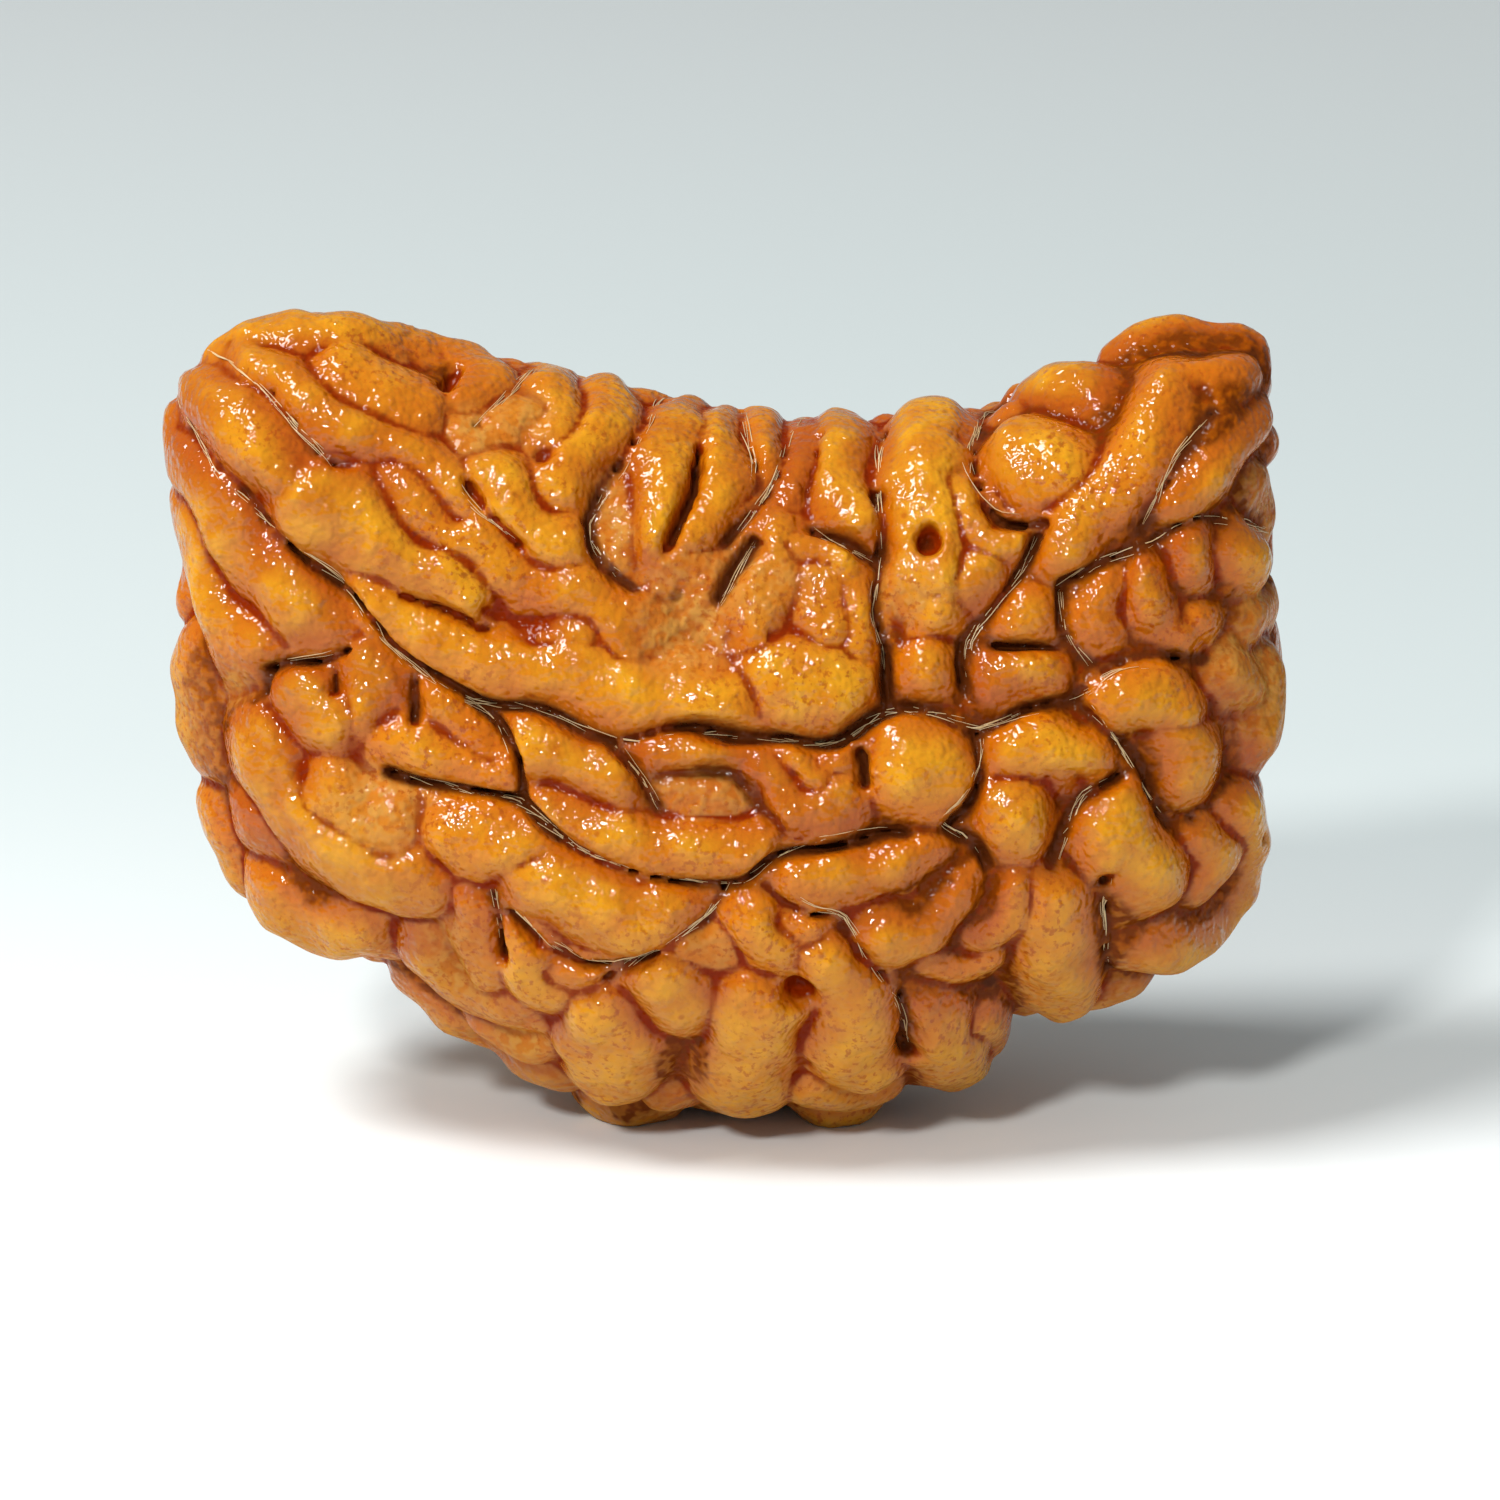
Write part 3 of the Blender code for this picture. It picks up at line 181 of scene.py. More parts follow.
# Ridges of the left horn, from the outer edge inwards
LEFT_HORN = (
    ridge(1.05, (-13.2, 20.05), (-12.0, 20.45), (-10.5, 20.5), (-9.0, 20.4), end=0.9),
    ridge(0.75, (-8.7, 20.3), (-7.6, 20.5), (-6.8, 20.2), (-6.6, 19.5), (-6.9, 18.8)),
    ridge(1.15, (-10.2, 19.7), (-9.6, 19.2), (-8.9, 18.6), rise=0.85),
    ridge(0.65, (-6.2, 20.3), (-5.6, 20.05)),
    ridge(0.75, (-13.7, 20.1), (-12.8, 20.0), (-11.9, 19.5), (-11.0, 18.9), (-10.0, 18.3),
          (-9.0, 17.8), (-8.3, 17.4), (-7.8, 16.8), (-7.3, 16.2)),
    ridge(0.85, (-14.2, 19.5), (-13.4, 19.0), (-12.7, 18.3), (-12.1, 17.5), (-11.7, 17.0)),
    ridge(1.15, (-11.2, 16.6), (-10.3, 16.0), (-9.4, 15.5), (-8.5, 15.1), (-7.6, 14.6),
          (-6.8, 13.9), end=0.75),
    ridge(0.7, (-8.8, 16.7), (-8.0, 16.2), (-7.2, 15.7), (-6.5, 15.2), (-5.8, 14.9),
          (-5.0, 14.6), (-4.2, 14.3), (-3.4, 13.7), (-2.9, 12.9), end=0.9),
    ridge(1.0, (-6.7, 16.9), (-5.9, 16.4), (-5.2, 15.85), (-4.6, 15.45)),
    ridge(0.9, (-7.0, 18.0), (-6.3, 18.3), (-5.4, 18.4), rise=0.6),
)

# Ribs that run down from the saddle along the top
TOP_RIBS = (
    ridge(1.0, (-5.0, 19.8), (-4.9, 19.0), (-5.0, 18.1)),
    ridge(0.95, (-3.0, 19.4), (-3.3, 18.8), (-3.8, 18.0), (-4.3, 17.3), (-4.6, 16.8)),
    ridge(0.7, (-2.3, 19.3), (-1.7, 19.2)),
    ridge(0.9, (-1.0, 18.8), (-1.3, 18.0), (-1.7, 17.0), (-1.9, 16.2), (-2.0, 15.6)),
    ridge(0.8, (-0.4, 18.5), (-0.4, 17.6), (-0.4, 16.8), (-0.6, 16.0), (-0.8, 15.5)),
    ridge(0.6, (-3.2, 16.4), (-3.1, 15.7), (-3.0, 15.2), rise=0.45),
    ridge(0.85, (0.7, 18.7), (0.9, 18.0), (0.9, 17.3), end=0.4),
    ridge(0.55, (2.2, 18.7), (2.1, 17.9), (1.9, 17.1), (1.6, 16.4)),
    ridge(0.85, (2.9, 18.7), (2.9, 18.0), (2.9, 17.2), (3.0, 16.4), (3.2, 15.8)),
    ridge(1.3, (5.35, 18.2), (5.3, 17.2), (5.2, 16.2), (5.2, 15.2), (5.3, 14.3)),
    ridge(0.9, (6.0, 16.6), (6.5, 15.9), (7.1, 15.5), (7.8, 15.3)),
    ridge(0.6, (4.2, 19.05), (4.2, 18.6)),
    ridge(0.5, (6.1, 18.9), (6.4, 18.5), (6.2, 17.8)),
    ridge(1.2, (7.6, 17.5), (8.3, 17.2), (8.9, 17.3)),
    ridge(0.6, (7.4, 18.5)),
    ridge(1.2, (8.6, 19.05), (9.5, 19.1)),
)

# Ridges of the pointed right horn
RIGHT_HORN = (
    ridge(0.9, (10.4, 20.25), (11.5, 20.6), (12.5, 20.7), (13.4, 20.65), (14.2, 20.55),
          (14.9, 20.5), end=0.28),
    ridge(0.65, (11.6, 19.7), (12.4, 19.5), (13.1, 19.6), (13.6, 19.8), end=0.5),
    ridge(0.85, (11.7, 19.4), (11.4, 18.6), (11.0, 17.8), (10.6, 17.1), (10.0, 16.5),
          (9.4, 16.0), (8.9, 15.4), (8.7, 14.9)),
    ridge(0.72, (13.8, 18.5), (13.3, 18.1), (12.7, 17.6), (12.1, 17.0), (11.7, 16.5)),
    ridge(0.7, (13.8, 16.9), (14.3, 16.3), (14.6, 15.9), rise=0.6),
)

# Knobs round the smooth hollow in the upper middle
CENTRE = (
    ridge(0.6, (-1.6, 15.0), (-0.8, 14.7), (-0.3, 14.5), (-0.5, 13.9), rise=0.6),
    ridge(1.05, (1.1, 15.6), (1.0, 14.7), (0.8, 13.9), (0.6, 13.2), rise=0.75),
    ridge(0.8, (1.6, 15.3), (2.4, 15.0), (3.1, 14.5)),
    ridge(0.9, (2.3, 14.4), (2.5, 13.7), (2.6, 13.0)),
    ridge(0.75, (3.2, 14.4), (3.3, 13.3), (3.3, 12.5)),
    ridge(1.35, (1.3, 11.5), (2.1, 11.7), (2.8, 11.6)),
    ridge(0.95, (-9.5, 13.95), (-8.8, 13.4), (-8.0, 12.95), (-7.3, 12.6), (-6.5, 12.4),
          (-5.7, 12.35), (-5.0, 12.25), (-4.2, 12.0), (-3.4, 11.7), (-2.6, 11.4), (-1.8, 11.15),
          (-1.0, 10.95), (0.1, 11.0), end=1.05),
    ridge(0.7, (-5.0, 12.7), (-4.1, 12.6)),
    ridge(1.0, (6.6, 14.7), (6.2, 14.2)),
    ridge(0.9, (5.2, 14.0), (5.5, 13.4)),
)

# The hooked ridges between the two long fissures
MIDDLE_BAND = (
    ridge(0.95, (-5.1, 9.95), (-4.4, 9.85), (-3.7, 9.6), (-3.1, 9.2), (-2.7, 8.9), end=0.75),
    ridge(0.65, (-1.9, 9.5), (-1.2, 9.75), (-0.4, 9.85), (0.4, 9.7), (1.0, 9.3), (1.3, 8.7),
          (1.7, 8.2), (2.4, 8.4), (3.0, 8.8)),
    ridge(0.6, (1.6, 9.7), (2.2, 9.2)),
    ridge(0.6, (-1.6, 8.75), (-0.7, 8.85), (0.2, 8.65), rise=0.5),
    ridge(0.82, (-4.9, 8.2), (-4.0, 7.85), (-3.0, 7.55), (-2.0, 7.35), (-1.0, 7.2),
          (-0.2, 7.15), (0.7, 7.25)),
    ridge(1.35, (4.9, 9.45), (5.3, 9.45)),
    ridge(0.5, (2.6, 9.65), (3.5, 9.85)),
    ridge(1.05, (7.7, 9.85), (8.5, 9.8), (9.4, 9.8), end=0.75),
    ridge(0.6, (8.7, 9.2)),
    ridge(1.15, (7.2, 8.2), (7.6, 7.9)),
    ridge(0.95, (10.3, 11.3), (11.1, 11.3), (11.8, 10.9)),
    ridge(1.0, (11.8, 10.2), (12.0, 9.6), (12.1, 9.3)),
)

# Separate knobs on the right half
RIGHT_KNOBS = (
    ridge(0.95, (7.9, 13.3), (7.9, 12.9)),
    ridge(0.95, (7.4, 11.9), (8.2, 12.0)),
    ridge(0.85, (5.4, 12.0)),
    ridge(0.7, (9.9, 14.3), (9.7, 13.7), (9.8, 13.0)),
    ridge(0.7, (11.0, 14.4), (11.0, 13.7), (11.2, 13.2)),
    ridge(0.45, (11.3, 12.9), (12.1, 12.9)),
    ridge(0.65, (12.3, 13.2)),
    ridge(0.65, (12.0, 15.5), (12.1, 14.9), (12.3, 14.6)),
    ridge(0.95, (13.2, 15.2), (13.6, 14.8)),
    ridge(0.75, (13.6, 13.3), (14.3, 13.6), rise=0.7),
    ridge(0.9, (13.0, 12.0), (13.5, 11.5), rise=0.8),
    ridge(1.1, (14.0, 11.6), (13.7, 10.4), rise=0.9),
)

# Ridges of the left end
LEFT_END = (
    ridge(0.9, (-14.1, 16.4), (-13.6, 15.6), (-13.4, 14.5), (-13.2, 13.5), (-12.6, 13.0)),
    ridge(0.75, (-15.0, 19.0), (-14.45, 17.9), (-13.8, 16.9), (-13.1, 15.9), (-12.4, 15.0),
          (-11.6, 14.2), (-10.9, 13.6), end=1.15),
    ridge(0.5, (-14.3, 16.1), (-14.2, 15.3), (-14.2, 14.6), (-14.2, 13.6)),
    ridge(1.5, (-14.1, 12.0), (-13.9, 10.7), rise=0.95),
    ridge(0.85, (-11.1, 11.4), (-10.9, 10.8), (-10.3, 10.4)),
    ridge(0.8, (-9.9, 12.3), (-9.5, 11.6), (-9.6, 11.0), (-9.8, 10.4)),
    ridge(0.7, (-9.4, 10.1), (-8.6, 10.0), (-7.8, 9.9), (-7.0, 9.6), (-6.5, 9.5)),
    ridge(0.6, (-8.0, 11.1), (-7.6, 10.7), (-7.1, 10.3), (-6.6, 9.8)),
    ridge(1.0, (-12.1, 10.0), (-12.0, 9.4), (-11.4, 8.6), (-10.7, 7.9), (-9.9, 7.3),
          (-9.0, 6.9), (-8.3, 6.7)),
    ridge(1.1, (-10.6, 8.8), (-9.9, 8.3), (-9.1, 7.8), rise=0.8),
    ridge(0.95, (-13.3, 8.4), (-13.0, 7.5), (-12.8, 6.9)),
)

# Lobes of the lower belly
BELLY = (
    ridge(0.9, (-7.3, 7.7), (-6.4, 7.5), (-5.5, 7.3)),
    ridge(1.0, (-5.2, 6.8), (-4.4, 6.3), (-3.4, 5.8), (-2.4, 5.5), (-1.6, 5.7)),
    ridge(1.1, (-11.7, 6.0), (-11.1, 5.5), (-10.4, 5.4), (-9.7, 5.4)),
    ridge(0.75, (-8.5, 3.8), (-8.0, 3.3), (-7.4, 2.9), (-6.8, 2.5), (-6.0, 2.3)),
    ridge(0.95, (-8.0, 4.7), (-7.3, 4.2), (-6.8, 3.8), (-6.2, 3.5), (-5.7, 3.4), rise=0.8),
    ridge(0.7, (-6.9, 6.0), (-6.7, 5.4), (-6.5, 4.7), (-6.2, 4.0)),
    ridge(1.05, (-5.2, 4.9), (-5.1, 4.3), (-4.9, 3.8)),
    ridge(0.7, (-4.5, 4.2), (-3.9, 4.2)),
    ridge(0.75, (-6.0, 2.2), (-5.2, 1.9), (-4.5, 1.6)),
    ridge(1.2, (-3.3, 3.0), (-3.2, 2.4), (-3.2, 1.6)),
    ridge(0.95, (-1.9, 4.2), (-1.5, 3.8), (-1.2, 3.4)),
    ridge(0.8, (-1.2, 4.9), (-0.5, 4.7), rise=0.6),
    ridge(0.9, (0.7, 5.6), (1.1, 5.1), (1.3, 5.0)),
    ridge(0.6, (1.8, 5.5), (2.4, 5.3)),
    ridge(0.8, (1.9, 6.8), (2.6, 6.7), (3.3, 6.65), (4.0, 6.8), (4.8, 7.2), (5.3, 7.4), end=0.35),
    ridge(0.85, (4.0, 4.9), (4.5, 4.9), (5.1, 5.1), (5.6, 5.7), (6.1, 6.4), (6.3, 6.8), end=0.35),
    ridge(0.6, (6.7, 5.1), (7.2, 5.4), (7.5, 5.9), (7.6, 6.4)),
    ridge(0.45, (5.3, 4.3), (6.2, 4.3), (6.9, 4.6)),
    ridge(1.05, (8.6, 6.2), (8.5, 5.5), (8.6, 4.8), (8.7, 4.1), (8.8, 3.6)),
    ridge(0.9, (9.4, 3.4), (10.3, 3.6)),
    ridge(1.15, (10.2, 8.1), (10.4, 7.5), (10.8, 6.9), (11.1, 6.5)),
    ridge(1.0, (11.2, 4.9), (11.8, 4.9), (12.5, 5.4), (13.1, 6.2), (13.4, 7.0), (13.4, 7.8),
          (13.2, 8.3)),
    ridge(0.8, (12.4, 7.6), (12.8, 7.2), (12.4, 6.6)),
    ridge(1.05, (2.9, 4.4), (3.0, 3.8), (3.2, 3.0), (3.4, 2.2), (3.4, 1.6)),
    ridge(1.2, (0.6, 3.1), (0.6, 2.4), (0.4, 1.7), (0.5, 1.2)),
    ridge(0.8, (2.2, 1.2), (2.9, 1.1), (3.6, 1.1)),
    ridge(1.1, (5.2, 3.0), (5.7, 2.3), (6.0, 1.7)),
    ridge(0.9, (6.3, 2.9), (6.7, 2.3)),
)

FACE_RIDGES = (LEFT_HORN + TOP_RIBS + RIGHT_HORN + CENTRE + MIDDLE_BAND + RIGHT_KNOBS
               + LEFT_END + BELLY)

# The long fissures that run from horn to horn, and the deep gaps that branch from them
FISSURES = (
    groove(0.11, 1.20, (-14.4, 19.2), (-13.4, 17.5), (-12.2, 16.1), (-11.0, 15.0), (-10.0, 14.1),
           (-9.1, 12.8), (-8.0, 11.8), (-6.9, 11.2), (-5.3, 11.0), (-4.2, 10.6), (-3.0, 10.15),
           (-1.8, 10.2), (0.0, 10.25), (1.4, 10.15), (2.4, 10.0), (3.2, 10.3), (4.1, 10.9),
           (5.3, 10.85), (6.6, 10.5), (7.7, 10.9), (9.1, 11.2), (9.9, 11.9), (10.6, 12.2),
           (12.4, 12.4)),
    groove(0.21, 1.12, (-7.1, 11.2), (-6.3, 10.7), (-6.0, 10.2)),
    groove(0.10, 1.12, (-6.0, 10.2), (-5.8, 9.8), (-5.75, 9.2), (-5.7, 8.7)),
    groove(0.10, 1.20, (-8.9, 9.3), (-7.0, 8.8), (-5.6, 8.5), (-4.6, 7.7), (-3.5, 7.0),
           (-1.7, 6.6), (0.0, 6.4), (0.7, 6.6), (1.3, 7.1), (2.6, 7.6), (3.9, 7.8), (4.4, 7.7)),
    groove(0.08, 1.04, (-3.0, 10.0), (-2.3, 9.2), (-1.8, 8.3)),
    groove(0.09, 1.12, (0.0, 6.4), (-0.6, 5.5), (-2.2, 4.6), (-3.1, 4.0)),
    groove(0.09, 1.12, (1.0, 6.5), (2.3, 5.8), (3.0, 5.6), (3.5, 4.6), (4.3, 3.4), (4.8, 2.2)),
    groove(0.08, 1.04, (-6.2, 6.3), (-6.0, 5.4), (-5.9, 4.9)),
    groove(0.08, 1.04, (-5.9, 6.1), (-5.2, 5.5), (-4.0, 4.6), (-3.1, 4.4), (-1.5, 4.9)),
    groove(0.11, 1.28, (-12.2, 12.0), (-11.7, 12.3), (-10.8, 12.4), (-10.3, 12.6)),
    groove(0.08, 1.12, (-12.2, 12.0), (-12.1, 11.2)),
    groove(0.08, 1.12, (9.3, 11.2), (10.3, 10.1), (11.0, 8.9), (11.6, 7.9)),
    groove(0.10, 1.12, (9.9, 6.6), (9.9, 5.0), (10.1, 4.3)),
    groove(0.10, 1.12, (6.8, 3.9), (7.8, 3.0)),
    groove(0.09, 1.12, (8.7, 14.2), (9.7, 14.85), (11.3, 15.5), (12.1, 16.1), (13.5, 15.9),
           (14.4, 15.4)),
)

# Creases between neighbouring ribs, and the dark web between the knobs on the right
CREASES = (
    groove(0.07, 0.76, (-14.0, 20.1), (-12.6, 19.5), (-11.6, 18.5), (-10.6, 17.4), (-10.2, 17.2)),
    groove(0.07, 0.69, (-7.3, 16.8), (-6.6, 16.1), (-5.7, 15.5)),
    groove(0.06, 0.69, (-8.6, 14.15), (-7.4, 13.65), (-6.2, 13.2)),
    groove(0.10, 0.83, (-6.9, 18.2), (-5.5, 19.3), (-4.7, 19.7)),
    groove(0.10, 0.89, (-1.7, 19.0), (-2.3, 18.1), (-3.0, 17.0), (-3.8, 15.9), (-3.4, 14.9),
           (-2.6, 14.3)),
    groove(0.05, 0.56, (-0.9, 17.4), (-1.1, 16.6), (-1.4, 15.9), (-1.6, 15.4)),
    groove(0.07, 0.69, (0.2, 18.6), (0.35, 17.8), (0.6, 17.2), (0.55, 16.6)),
    groove(0.10, 0.83, (2.1, 18.7), (1.5, 17.5), (0.9, 16.5), (0.3, 15.7), (0.0, 15.2)),
    groove(0.06, 0.56, (2.45, 17.6), (2.3, 17.0), (2.1, 16.5)),
    groove(0.09, 0.83, (2.2, 15.6), (2.8, 15.3), (3.8, 14.8)),
    groove(0.10, 0.89, (4.1, 17.9), (4.0, 17.3), (3.95, 15.0), (3.8, 13.5), (4.1, 12.5),
           (4.3, 11.1)),
    groove(0.10, 0.89, (7.6, 19.4), (6.95, 18.6), (6.5, 17.6), (6.5, 16.8), (7.2, 16.0),
           (8.4, 15.8)),
    groove(0.09, 0.83, (12.7, 18.6), (12.0, 17.8), (11.2, 16.3), (10.9, 15.7)),
    groove(0.10, 0.96, (8.2, 15.5), (7.8, 14.6), (7.0, 13.6), (6.3, 12.7), (6.4, 11.6)),
    groove(0.10, 0.96, (8.8, 14.1), (8.9, 13.2), (9.6, 12.2)),
    groove(0.12, 0.96, (6.6, 10.4), (6.6, 9.4), (6.0, 8.5), (5.5, 8.0), (6.2, 7.6), (6.7, 6.9)),
    groove(0.10, 0.89, (8.6, 7.0), (9.0, 7.9), (9.3, 8.7), (10.2, 9.2)),
    groove(0.06, 0.63, (-8.5, 11.6), (-8.5, 10.6)),
    groove(0.07, 0.69, (-10.6, 12.1), (-10.5, 11.4)),
    groove(0.05, 0.63, (-1.9, 8.95), (-0.6, 9.35), (0.1, 9.35), (0.6, 8.5), (1.4, 7.7)),
    groove(0.05, 0.36, (2.3, 14.4), (1.9, 14.0), (1.6, 13.4), (1.3, 12.8)),
    groove(0.07, 0.69, (0.7, 15.3), (0.4, 14.8), (-0.3, 13.7)),
    groove(0.06, 0.69, (3.5, 9.9), (3.6, 9.0)),
    groove(0.09, 0.83, (7.1, 12.7), (8.8, 12.6)),
    groove(0.05, 0.40, (11.4, 20.1), (12.2, 20.2), (13.0, 20.1), (13.7, 20.2)),
    groove(0.06, 0.69, (12.2, 8.1), (13.4, 7.8)),
)

# Round pits and the smooth hollow
PITS = (
    groove(0.38, 0.95, (-7.6, 19.7), (-7.75, 19.3)),
    groove(0.30, 0.45, (-9.0, 20.7)),
    groove(0.34, 0.42, (-6.2, 17.8)),
    groove(0.26, 0.40, (-5.2, 17.4)),
    groove(0.20, 0.50, (5.1, 15.3)),
    groove(0.28, 0.50, (-1.5, 14.0)),
    groove(0.50, 0.80, (1.6, 3.8)),
    groove(0.32, 0.60, (2.1, 1.9)),
    groove(0.32, 0.60, (-9.0, 4.8)),
    groove(0.30, 0.50, (-6.1, 13.65), (-5.3, 13.5)),
    groove(1.3, 0.55, (-1.7, 13.0), (-0.6, 12.8)),
)

FACE_GROOVES = FISSURES + CREASES + PITS

# The low knobs that it stands on, as (x, y) under the belly
FEET = ((-2.9, -0.9), (3.0, -1.0), (-2.6, 1.7), (3.1, 1.6))
FOOT_RADIUS = 1.3
FOOT_RISE = 1.25

# Ridges that close the sides the face does not show
FILL_TRIES = 5200
FILL_CLEARANCE = 0.34
FILL_RADIUS = (0.62, 1.0)
FILL_RISE = (0.6, 1.0)
FILL_LINKS = (1, 5)
FILL_STRIDE = 0.75
FILL_BOX = ((-15.5, -7.0, -0.5), (15.5, 7.0, 22.5))
FILL_LEAN = 0.7
FILL_START_OVERLAP = 0.45
FILL_STEP_OVERLAP = 0.3
FILL_START_FROM_GROOVE = 0.3
FILL_STEP_FROM_GROOVE = 0.15
BACK_SHIFT = 0.7
BACK_START_Y = 0.4
BACK_SPACING = 0.72


def rounded_line(places, steps, closed=False):
    """A smooth line through the given places, as rows of coordinates."""
    line = np.array(places, dtype=float)
    if len(line) < 3:
        return line
    before = np.roll(line, 1, axis=0)
    after = np.roll(line, -1, axis=0)
    if not closed:
        before[0] = line[0]
        after[-1] = line[-1]
    rows = []
    spans = len(line) if closed else len(line) - 1
    for i in range(spans):
        j = (i + 1) % len(line)
        leave = (after[i] - before[i]) / 2
        arrive = (after[j] - before[j]) / 2
        for step in range(steps):
            t = step / steps
            rows.append((2 * t**3 - 3 * t**2 + 1) * line[i] + (t**3 - 2 * t**2 + t) * leave
                        + (3 * t**2 - 2 * t**3) * line[j] + (t**3 - t**2) * arrive)
    if not closed:
        rows.append(line[-1])
    return np.array(rows)


def sight_lines(seen):
    """The eye's place, and the direction from it through each seen place (u, v)."""
    up = np.array((0.0, math.sin(EYE_ELEVATION), math.cos(EYE_ELEVATION)))
    forward = np.array((0.0, math.cos(EYE_ELEVATION), -math.sin(EYE_ELEVATION)))
    right = np.array((1.0, 0.0, 0.0))
    foot = np.array((0.0, EYE_FOOT_Y, 0.0))
    eye = foot + EYE_AIM[0] * right + EYE_AIM[1] * up - EYE_DISTANCE * forward
    seen = np.atleast_2d(seen)
    through = foot + seen[:, :1] * right + seen[:, 1:2] * up
    direction = through - eye
    return eye, direction / np.linalg.norm(direction, axis=1)[:, None]


def upright_outline():
    """The kernel's outline on the plane Y = 0, as (x, z) rows."""
    eye, direction = sight_lines(rounded_line(KERNEL_OUTLINE, 4, closed=True))
    reach = -eye[1] / direction[:, 1]
    points = eye + reach[:, None] * direction
    return points[:, (0, 2)]


OUTLINE = upright_outline()


def outline_depth(x, z):
    """Distance from the kernel's outline, positive inside it."""
    start = OUTLINE
    end = np.roll(OUTLINE, -1, axis=0)
    nearest = np.full(x.shape, 1e9)
    within = np.zeros(x.shape, dtype=bool)
    for (ax, az), (bx, bz) in zip(start, end):
        along = ((x - ax) * (bx - ax) + (z - az) * (bz - az)) / ((bx - ax)**2 + (bz - az)**2)
        along = np.clip(along, 0.0, 1.0)
        gap = (x - ax - along * (bx - ax))**2 + (z - az - along * (bz - az))**2
        nearest = np.minimum(nearest, gap)
        if az != bz:
            crosses = ((az > z) != (bz > z)) & (x < (bx - ax) * (z - az) / (bz - az) + ax)
            within ^= crosses
    return np.where(within, 1.0, -1.0) * np.sqrt(nearest)


def depth_map():
    """The outline's depth on a fine upright sheet, so that it is quick to look up."""
    x = np.arange(GRID_LOW[0], GRID_HIGH[0], MAP_STEP)
    z = np.arange(GRID_LOW[2], GRID_HIGH[2], MAP_STEP)
    return outline_depth(*np.meshgrid(x, z, indexing="ij")) - KERNEL_INSET


DEPTH_MAP = depth_map()


def inside_depth(x, z):
    """Depth inside the kernel's outline, read between the sheet's points."""
    across = np.clip((x - GRID_LOW[0]) / MAP_STEP, 0.0, DEPTH_MAP.shape[0] - 1.001)
    upward = np.clip((z - GRID_LOW[2]) / MAP_STEP, 0.0, DEPTH_MAP.shape[1] - 1.001)
    i, k = across.astype(int), upward.astype(int)
    a, b = across - i, upward - k
    lower = DEPTH_MAP[i, k] * (1 - a) + DEPTH_MAP[i + 1, k] * a
    upper = DEPTH_MAP[i, k + 1] * (1 - a) + DEPTH_MAP[i + 1, k + 1] * a
    return lower * (1 - b) + upper * b


def half_thickness(x, z):
    """Half the kernel's thickness: full at the belly and thin at the rim and the horns."""
    across = ((x - BELLY_CENTRE[0]) / BELLY_REACH[0])**2
    upward = ((z - BELLY_CENTRE[1]) / BELLY_REACH[1])**2
    swell = np.exp(-across - upward)
    return RIM_HALF_THICKNESS + (BELLY_HALF_THICKNESS - RIM_HALF_THICKNESS) * swell


def kernel(x, y, z):
    """Distance to the smooth kernel, negative inside it."""
    depth = inside_depth(x, z)
    half = half_thickness(x, z)
    inset = np.maximum(half - depth, 0.0)
    return np.sqrt(inset**2 + y**2) - half


def kernel_at(points):
    """Distance to the smooth kernel at each row of coordinates."""
    return kernel(points[:, 0], points[:, 1], points[:, 2])


def outward(points):
    """Unit directions away from the kernel at the given points."""
    reach = 0.05
    slope = np.empty_like(points)
    for axis in range(3):
        shift = np.zeros(3)
        shift[axis] = reach
        slope[:, axis] = kernel_at(points + shift) - kernel_at(points - shift)
    return slope / np.maximum(np.linalg.norm(slope, axis=1), 1e-9)[:, None]


def onto_kernel(points):
    """The given points, drawn to the kernel's skin."""
    for _ in range(6):
        points = points - outward(points) * kernel_at(points)[:, None] * 0.9
    return points


def seen_on_kernel(seen):
    """Where the seen places (u, v) lie on the kernel, or its nearest skin beside them."""
    eye, direction = sight_lines(seen)
    travelled = np.full(len(direction), EYE_DISTANCE - SIGHT_MARGIN)
    best = travelled.copy()
    closest = np.full(len(direction), 1e9)
    for _ in range(SIGHT_STEPS):
        gap = kernel_at(eye + travelled[:, None] * direction)
        better = gap < closest
        best = np.where(better, travelled, best)
        closest = np.where(better, gap, closest)
        travelled = travelled + np.where(gap > 0.01, np.maximum(gap * 0.7, 0.02), 0.0)
    return onto_kernel(eye + best[:, None] * direction)


def placed_ridge(item):
    """A face ridge as points on the kernel with a radius and a rise for each."""
    seen = rounded_line(item["places"], 2)
    spots = seen_on_kernel(seen)
    radii = np.linspace(item["radius"], item["end"], len(spots))
    return spots, radii, np.full(len(spots), item["rise"])


def placed_groove(item):
    """A face groove as points on the kernel, with its half width and depth."""
    return seen_on_kernel(rounded_line(item["places"], 2)), item["half_width"], item["depth"]


def drift(points, amount):
    """A slow seeded wander of the given points, so that the back does not repeat the face."""
    wave = np.random.default_rng(SEED).uniform(0.0, 2 * math.pi, (3, 3))
    shift = np.empty_like(points)
    for axis in range(3):
        shift[:, axis] = (np.sin(points[:, 0] * 0.45 + wave[axis, 0])
                          + np.sin(points[:, 2] * 0.55 + wave[axis, 1])
                          + np.sin(points[:, 1] * 0.8 + wave[axis, 2]))
    return points + amount * shift / 1.7


def half_turned(points):
    """Points of the face, carried half round the upright axis to the back."""
    turned = points * np.array((-1.0, -1.0, 1.0))
    return onto_kernel(drift(turned, BACK_SHIFT))


def runs_of(keep):
    """The unbroken stretches of a row of flags, as (first, after last)."""
    runs = []
    first = None
    for i, flag in enumerate(list(keep) + [False]):
        if flag and first is None:
            first = i
        if not flag and first is not None:
            runs.append((first, i))
            first = None
    return runs


